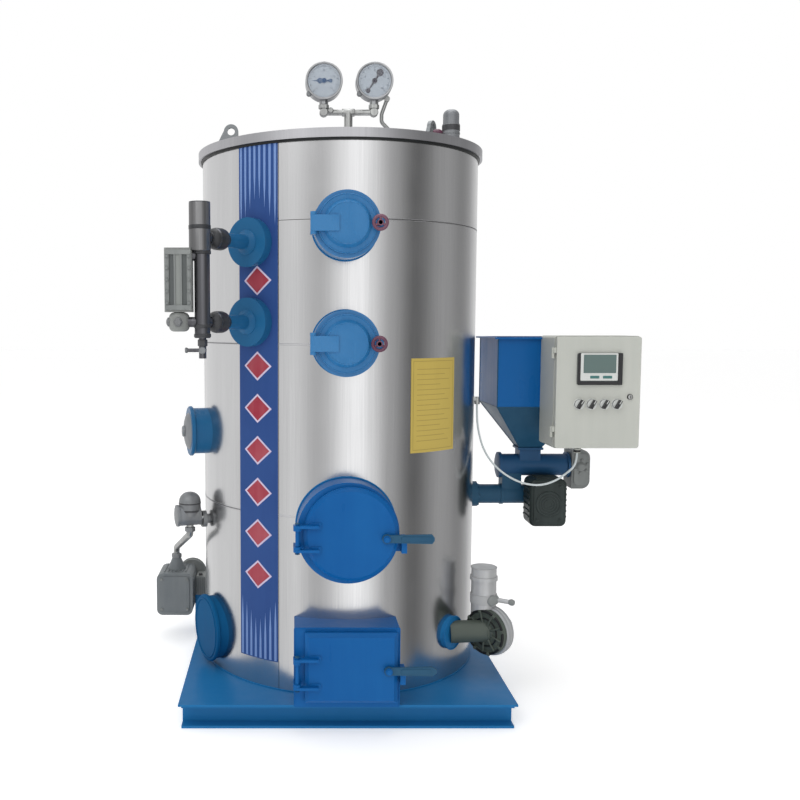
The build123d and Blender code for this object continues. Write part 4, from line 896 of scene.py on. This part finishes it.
gearTrim.make("gearCover", castGrey, bevel=1.2)

print("control box")
cabinet = {"door": -250.0, "screen": -257.0, "switchXs": (780.0, 821.0, 863.0, 905.0), "switchZ": 974.0,
           "lock": (946.0, 998.0)}
Shape().panel(779, 902, 1052, 1142, 3, cabinet["screen"], 1.6).make(
    "displayFrame", plasticWhite, "box_door", bevel=0.6)
Shape().panel(789, 895.5, 1077, 1137, 2, cabinet["screen"] - 1.6, 0.8).make(
    "displayScreen", screenDark, "box_door")
bezel = Shape()
for x0, x1, z0, z1 in ((771, 779, 1038, 1142), (902, 917, 1038, 1142), (779, 902, 1038, 1049)):
    bezel.panel(x0, x1, z0, z1, 1.5, cabinet["screen"], 3.0)
bezel.make("displayBezel", plasticBlack, "box_door", bevel=0.6)
keys = Shape()
for x0 in (811, 853):
    keys.panel(x0, x0 + 30, 1059, 1068, 2, cabinet["screen"] - 1.6, 0.8)
keys.make("displayKeys", tealInk, "box_door")
collars, pointers = Shape(), Shape()
for x in cabinet["switchXs"]:
    z = cabinet["switchZ"]
    collars.ring((x, cabinet["door"] - 0.6, z), backward, 17.0, 1.6, 40)
    collars.lathe((x, -256.0, z), forward, [(15.5, -0.4), (15.5, 0.2), (14.5, 0.5)], 40)
    c, s = math.cos(math.radians(60)), math.sin(math.radians(60))
    ends = [(x + u * c - v * s, z + u * s + v * c) for u, v in ((2, -1.2), (14, -1.2), (14, 1.2), (2, 1.2))]
    pointers.slab(ends, onFront(-272.1), 0.4)
collars.make("switchCollars", plasticWhite, "box_door")
pointers.make("switchMarks", plasticWhite, "box_door")
lockX, lockZ = cabinet["lock"]
Shape().lathe((lockX, -255, lockZ), forward, [(7.5, 0), (7.5, 1.5), (5, 2.2)], 24).make(
    "lockCap", pipeSteel, "box_door")
Shape().slab([(lockX - 1, lockZ - 5), (lockX + 1, lockZ - 5), (lockX + 1, lockZ + 5), (lockX - 1, lockZ + 5)],
             onFront(-257.1), 0.3).make("lockSlot", blackPaint, "box_door")
Shape().bead([(x, -230.3, z) for x, z in roundedRect(704, 980, 828, 1195, 8)], 0.6, 6).make("boxSeal", blackPaint)
glands = Shape()
glands.lathe((803, -170, 825), downward, [(15, 0), (15, 7), (13, 9)], 6)
glands.lathe((803, -170, 801), up, [(8, 0), (11.6, 3), (11.6, 10), (9, 12)], 24)
glands.make("boxGlandNuts", plasticBlack)
Shape().lathe((479.341, -80.213, 959), up, [(6, 0), (9.6, 3), (9.6, 9), (9, 11)], 24).make(
    "drumGlandNut", pipeSteel)

print("blower")
blower = {"face": (464.002, -339.598, 235.0), "axis": 42.0, "duct": (465.674, -300.106), "damper": -34.0,
          "damperZ": 338.0}
faceAt = Vector(blower["face"])
toFront = -drumOut(blower["axis"])
Shape().lathe(faceAt, toFront, [(74.7, -13.8), (74.7, 1.5), (73.5, 3.5), (62, 3.5), (60, 0.6), (30, 0.6),
                                (27, 5.0), (10, 6.0)], 72).make("fanFace", faceGreen)
hoops = Shape()
hoops.ring(faceAt + toFront * 2.5, toFront, 69.5, 4.8, 72)
hoops.ring(faceAt + toFront * 2.0, toFront, 45, 2.6, 56)
hoops.make("fanRings", blackPaint)
spokes = Shape()
spin = spinTo(toFront)
for i in range(9):
    a = 2 * math.pi * i / 9 + 0.3
    inner, outer = (Vector((r * math.cos(a), r * math.sin(a), 3)) for r in (26, 66))
    spokes.rod(faceAt + spin @ inner, faceAt + spin @ outer, 3.4, 1.0, 12)
spokes.lathe(faceAt, toFront, [(20, 4), (20, 9), (15, 12), (3, 13)], 32)
spokes.make("fanSpokes", faceGreen)
Shape().boltCircle(faceAt + toFront * 3.4, toFront, 69.5, 8, 10, 5, 0.2, 1.0).make("fanBolts", faceGreen)
Shape().ring(faceAt - toFront * 31, toFront, 79.6, 2.4, 72).make("fanSeam", fanGrey)
fins = Shape()
for i in range(12):
    a = 2 * math.pi * i / 12
    side = spinTo(-toFront) @ Vector((42.0 * math.cos(a), 42.0 * math.sin(a), 0))
    fins.rod(faceAt - toFront * 52 + side, faceAt - toFront * 92 + side, 2.2, 0.6, 8)
fins.make("fanMotorFins", darkSteel)
dx, dy = blower["duct"]
damper = drumOut(blower["damper"])
ductMiddle = Vector((dx, dy, blower["damperZ"]))
duct = Shape()
duct.hoop(ductMiddle, up, [(40.6, -15), (43.5, -15), (43.5, 15), (40.6, 15)], 56)
duct.hoop((dx, dy, 442), up, [(38, -3), (42.5, -3), (42.5, 0), (39, 0)], 56)
duct.make("ductBands", fanGrey)
clamp = Shape()
clampOut = drumOut(-62)
clamp.lathe(ductMiddle + clampOut * 37, clampOut, [(18, 0), (18, 7), (14, 11), (3, 12)], 36)
clamp.lathe(ductMiddle + damper * 40, damper, [(15, 0), (15, 6), (11, 9), (8, 12)], 28)
clamp.make("damperClamp", castGrey)
Shape().lathe(ductMiddle + damper * 96, damper, [(4, -11), (8, -8.5), (10.3, -3), (10.3, 3), (8, 8.5), (3, 10.3)],
              28).make("damperBall", castGrey)
Shape().ring(drumPoint(488, -42, 228), drumOut(-42), 54, 2.2, 56).make("blowerPortTrim", frameBlue)

print("outlets and lugs")
outlets = Shape()
outlets.boltCircle((0, 555.0, 1600), forward, 87, 8, 14, 8, 0.39, 1.5)
outlets.boltCircle((60, 120, 1830), downward, 44, 4, 14, 8, 0.78, 1.5)
outlets.make("outletBolts", pipeSteel)
lugWelds = Shape()
for x, y, turn in ((-377.0, 0.0, 0.0), (312.0, -60.0, 58.0)):
    c, s = math.cos(math.radians(turn)), math.sin(math.radians(turn))
    for across in (-8, 8):
        lugWelds.bead([(x + u * c - across * s, y + u * s + across * c, 1799.5) for u in (-50, 25)], 3.0, 8,
                      closed=False)
lugWelds.make("lugWelds", lugSteel)

print("studio")
world = bpy.data.worlds.new("studioWorld")
scene.world = world
world.use_nodes = True
worldTree = world.node_tree
background = worldTree.nodes["Background"]
studio = {
    # Brightness against azimuth, as shares of a turn from -X, anticlockwise seen from above.
    "stops": ((0.0, 0.72), (0.055, 0.52), (0.14, 0.92), (0.195, 0.58), (0.287, 1.42), (0.36, 0.5), (0.415, 0.14),
              (0.50, 0.44), (0.575, 0.3), (0.68, 0.8), (0.80, 0.9), (0.93, 0.86)),
    "lights": (("keyLight", (-2.4, -3.6, 4.6), (0.0, 0.0, 1.0), 2.8, 55.0),
               ("topLight", (0.3, 0.2, 4.8), (0.0, 0.0, 1.0), 3.2, 70.0)),
}
direction = addNode(worldTree, "ShaderNodeTexCoord").outputs["Generated"]
split = addNode(worldTree, "ShaderNodeSeparateXYZ", None, None, {0: direction})
angle = maths(worldTree, "ARCTAN2", split.outputs["Y"], split.outputs["X"])
turn = maths(worldTree, "ADD", maths(worldTree, "MULTIPLY", angle, 0.5 / math.pi), 0.5)
ramp = addNode(worldTree, "ShaderNodeValToRGB", None, None, {0: turn})
ramp.color_ramp.interpolation = "EASE"
while len(ramp.color_ramp.elements) < len(studio["stops"]):
    ramp.color_ramp.elements.new(0.5)
for element, (spot, bright) in zip(ramp.color_ramp.elements, studio["stops"]):
    element.position = spot
    element.color = (bright, bright, bright, 1.0)
seen = addNode(worldTree, "ShaderNodeLightPath").outputs["Is Camera Ray"]
shown = mixColor(worldTree, seen, ramp.outputs["Color"], (1.0, 1.0, 1.0, 1.0))
worldTree.links.new(shown, background.inputs["Color"])
for name, place, target, size, power in studio["lights"]:
    data = bpy.data.lights.new(name, "AREA")
    data.size = size
    data.energy = power
    light = bpy.data.objects.new(name, data)
    light.location = place
    light.rotation_euler = (Vector(target) - Vector(place)).to_track_quat("-Z", "Y").to_euler()
    scene.collection.objects.link(light)

floorMesh = bpy.data.meshes.new("paleFloor")
reach = 40.0
floorMesh.from_pydata([(-reach, -reach, 0), (reach, -reach, 0), (reach, reach, 0), (-reach, reach, 0)], [],
                      [(0, 1, 2, 3)])
floorPiece = bpy.data.objects.new("paleFloor", floorMesh)
floorMesh.materials.append(floorPale)
scene.collection.objects.link(floorPiece)
floorPiece.visible_glossy = False  # the steel mirrors the studio, not the floor
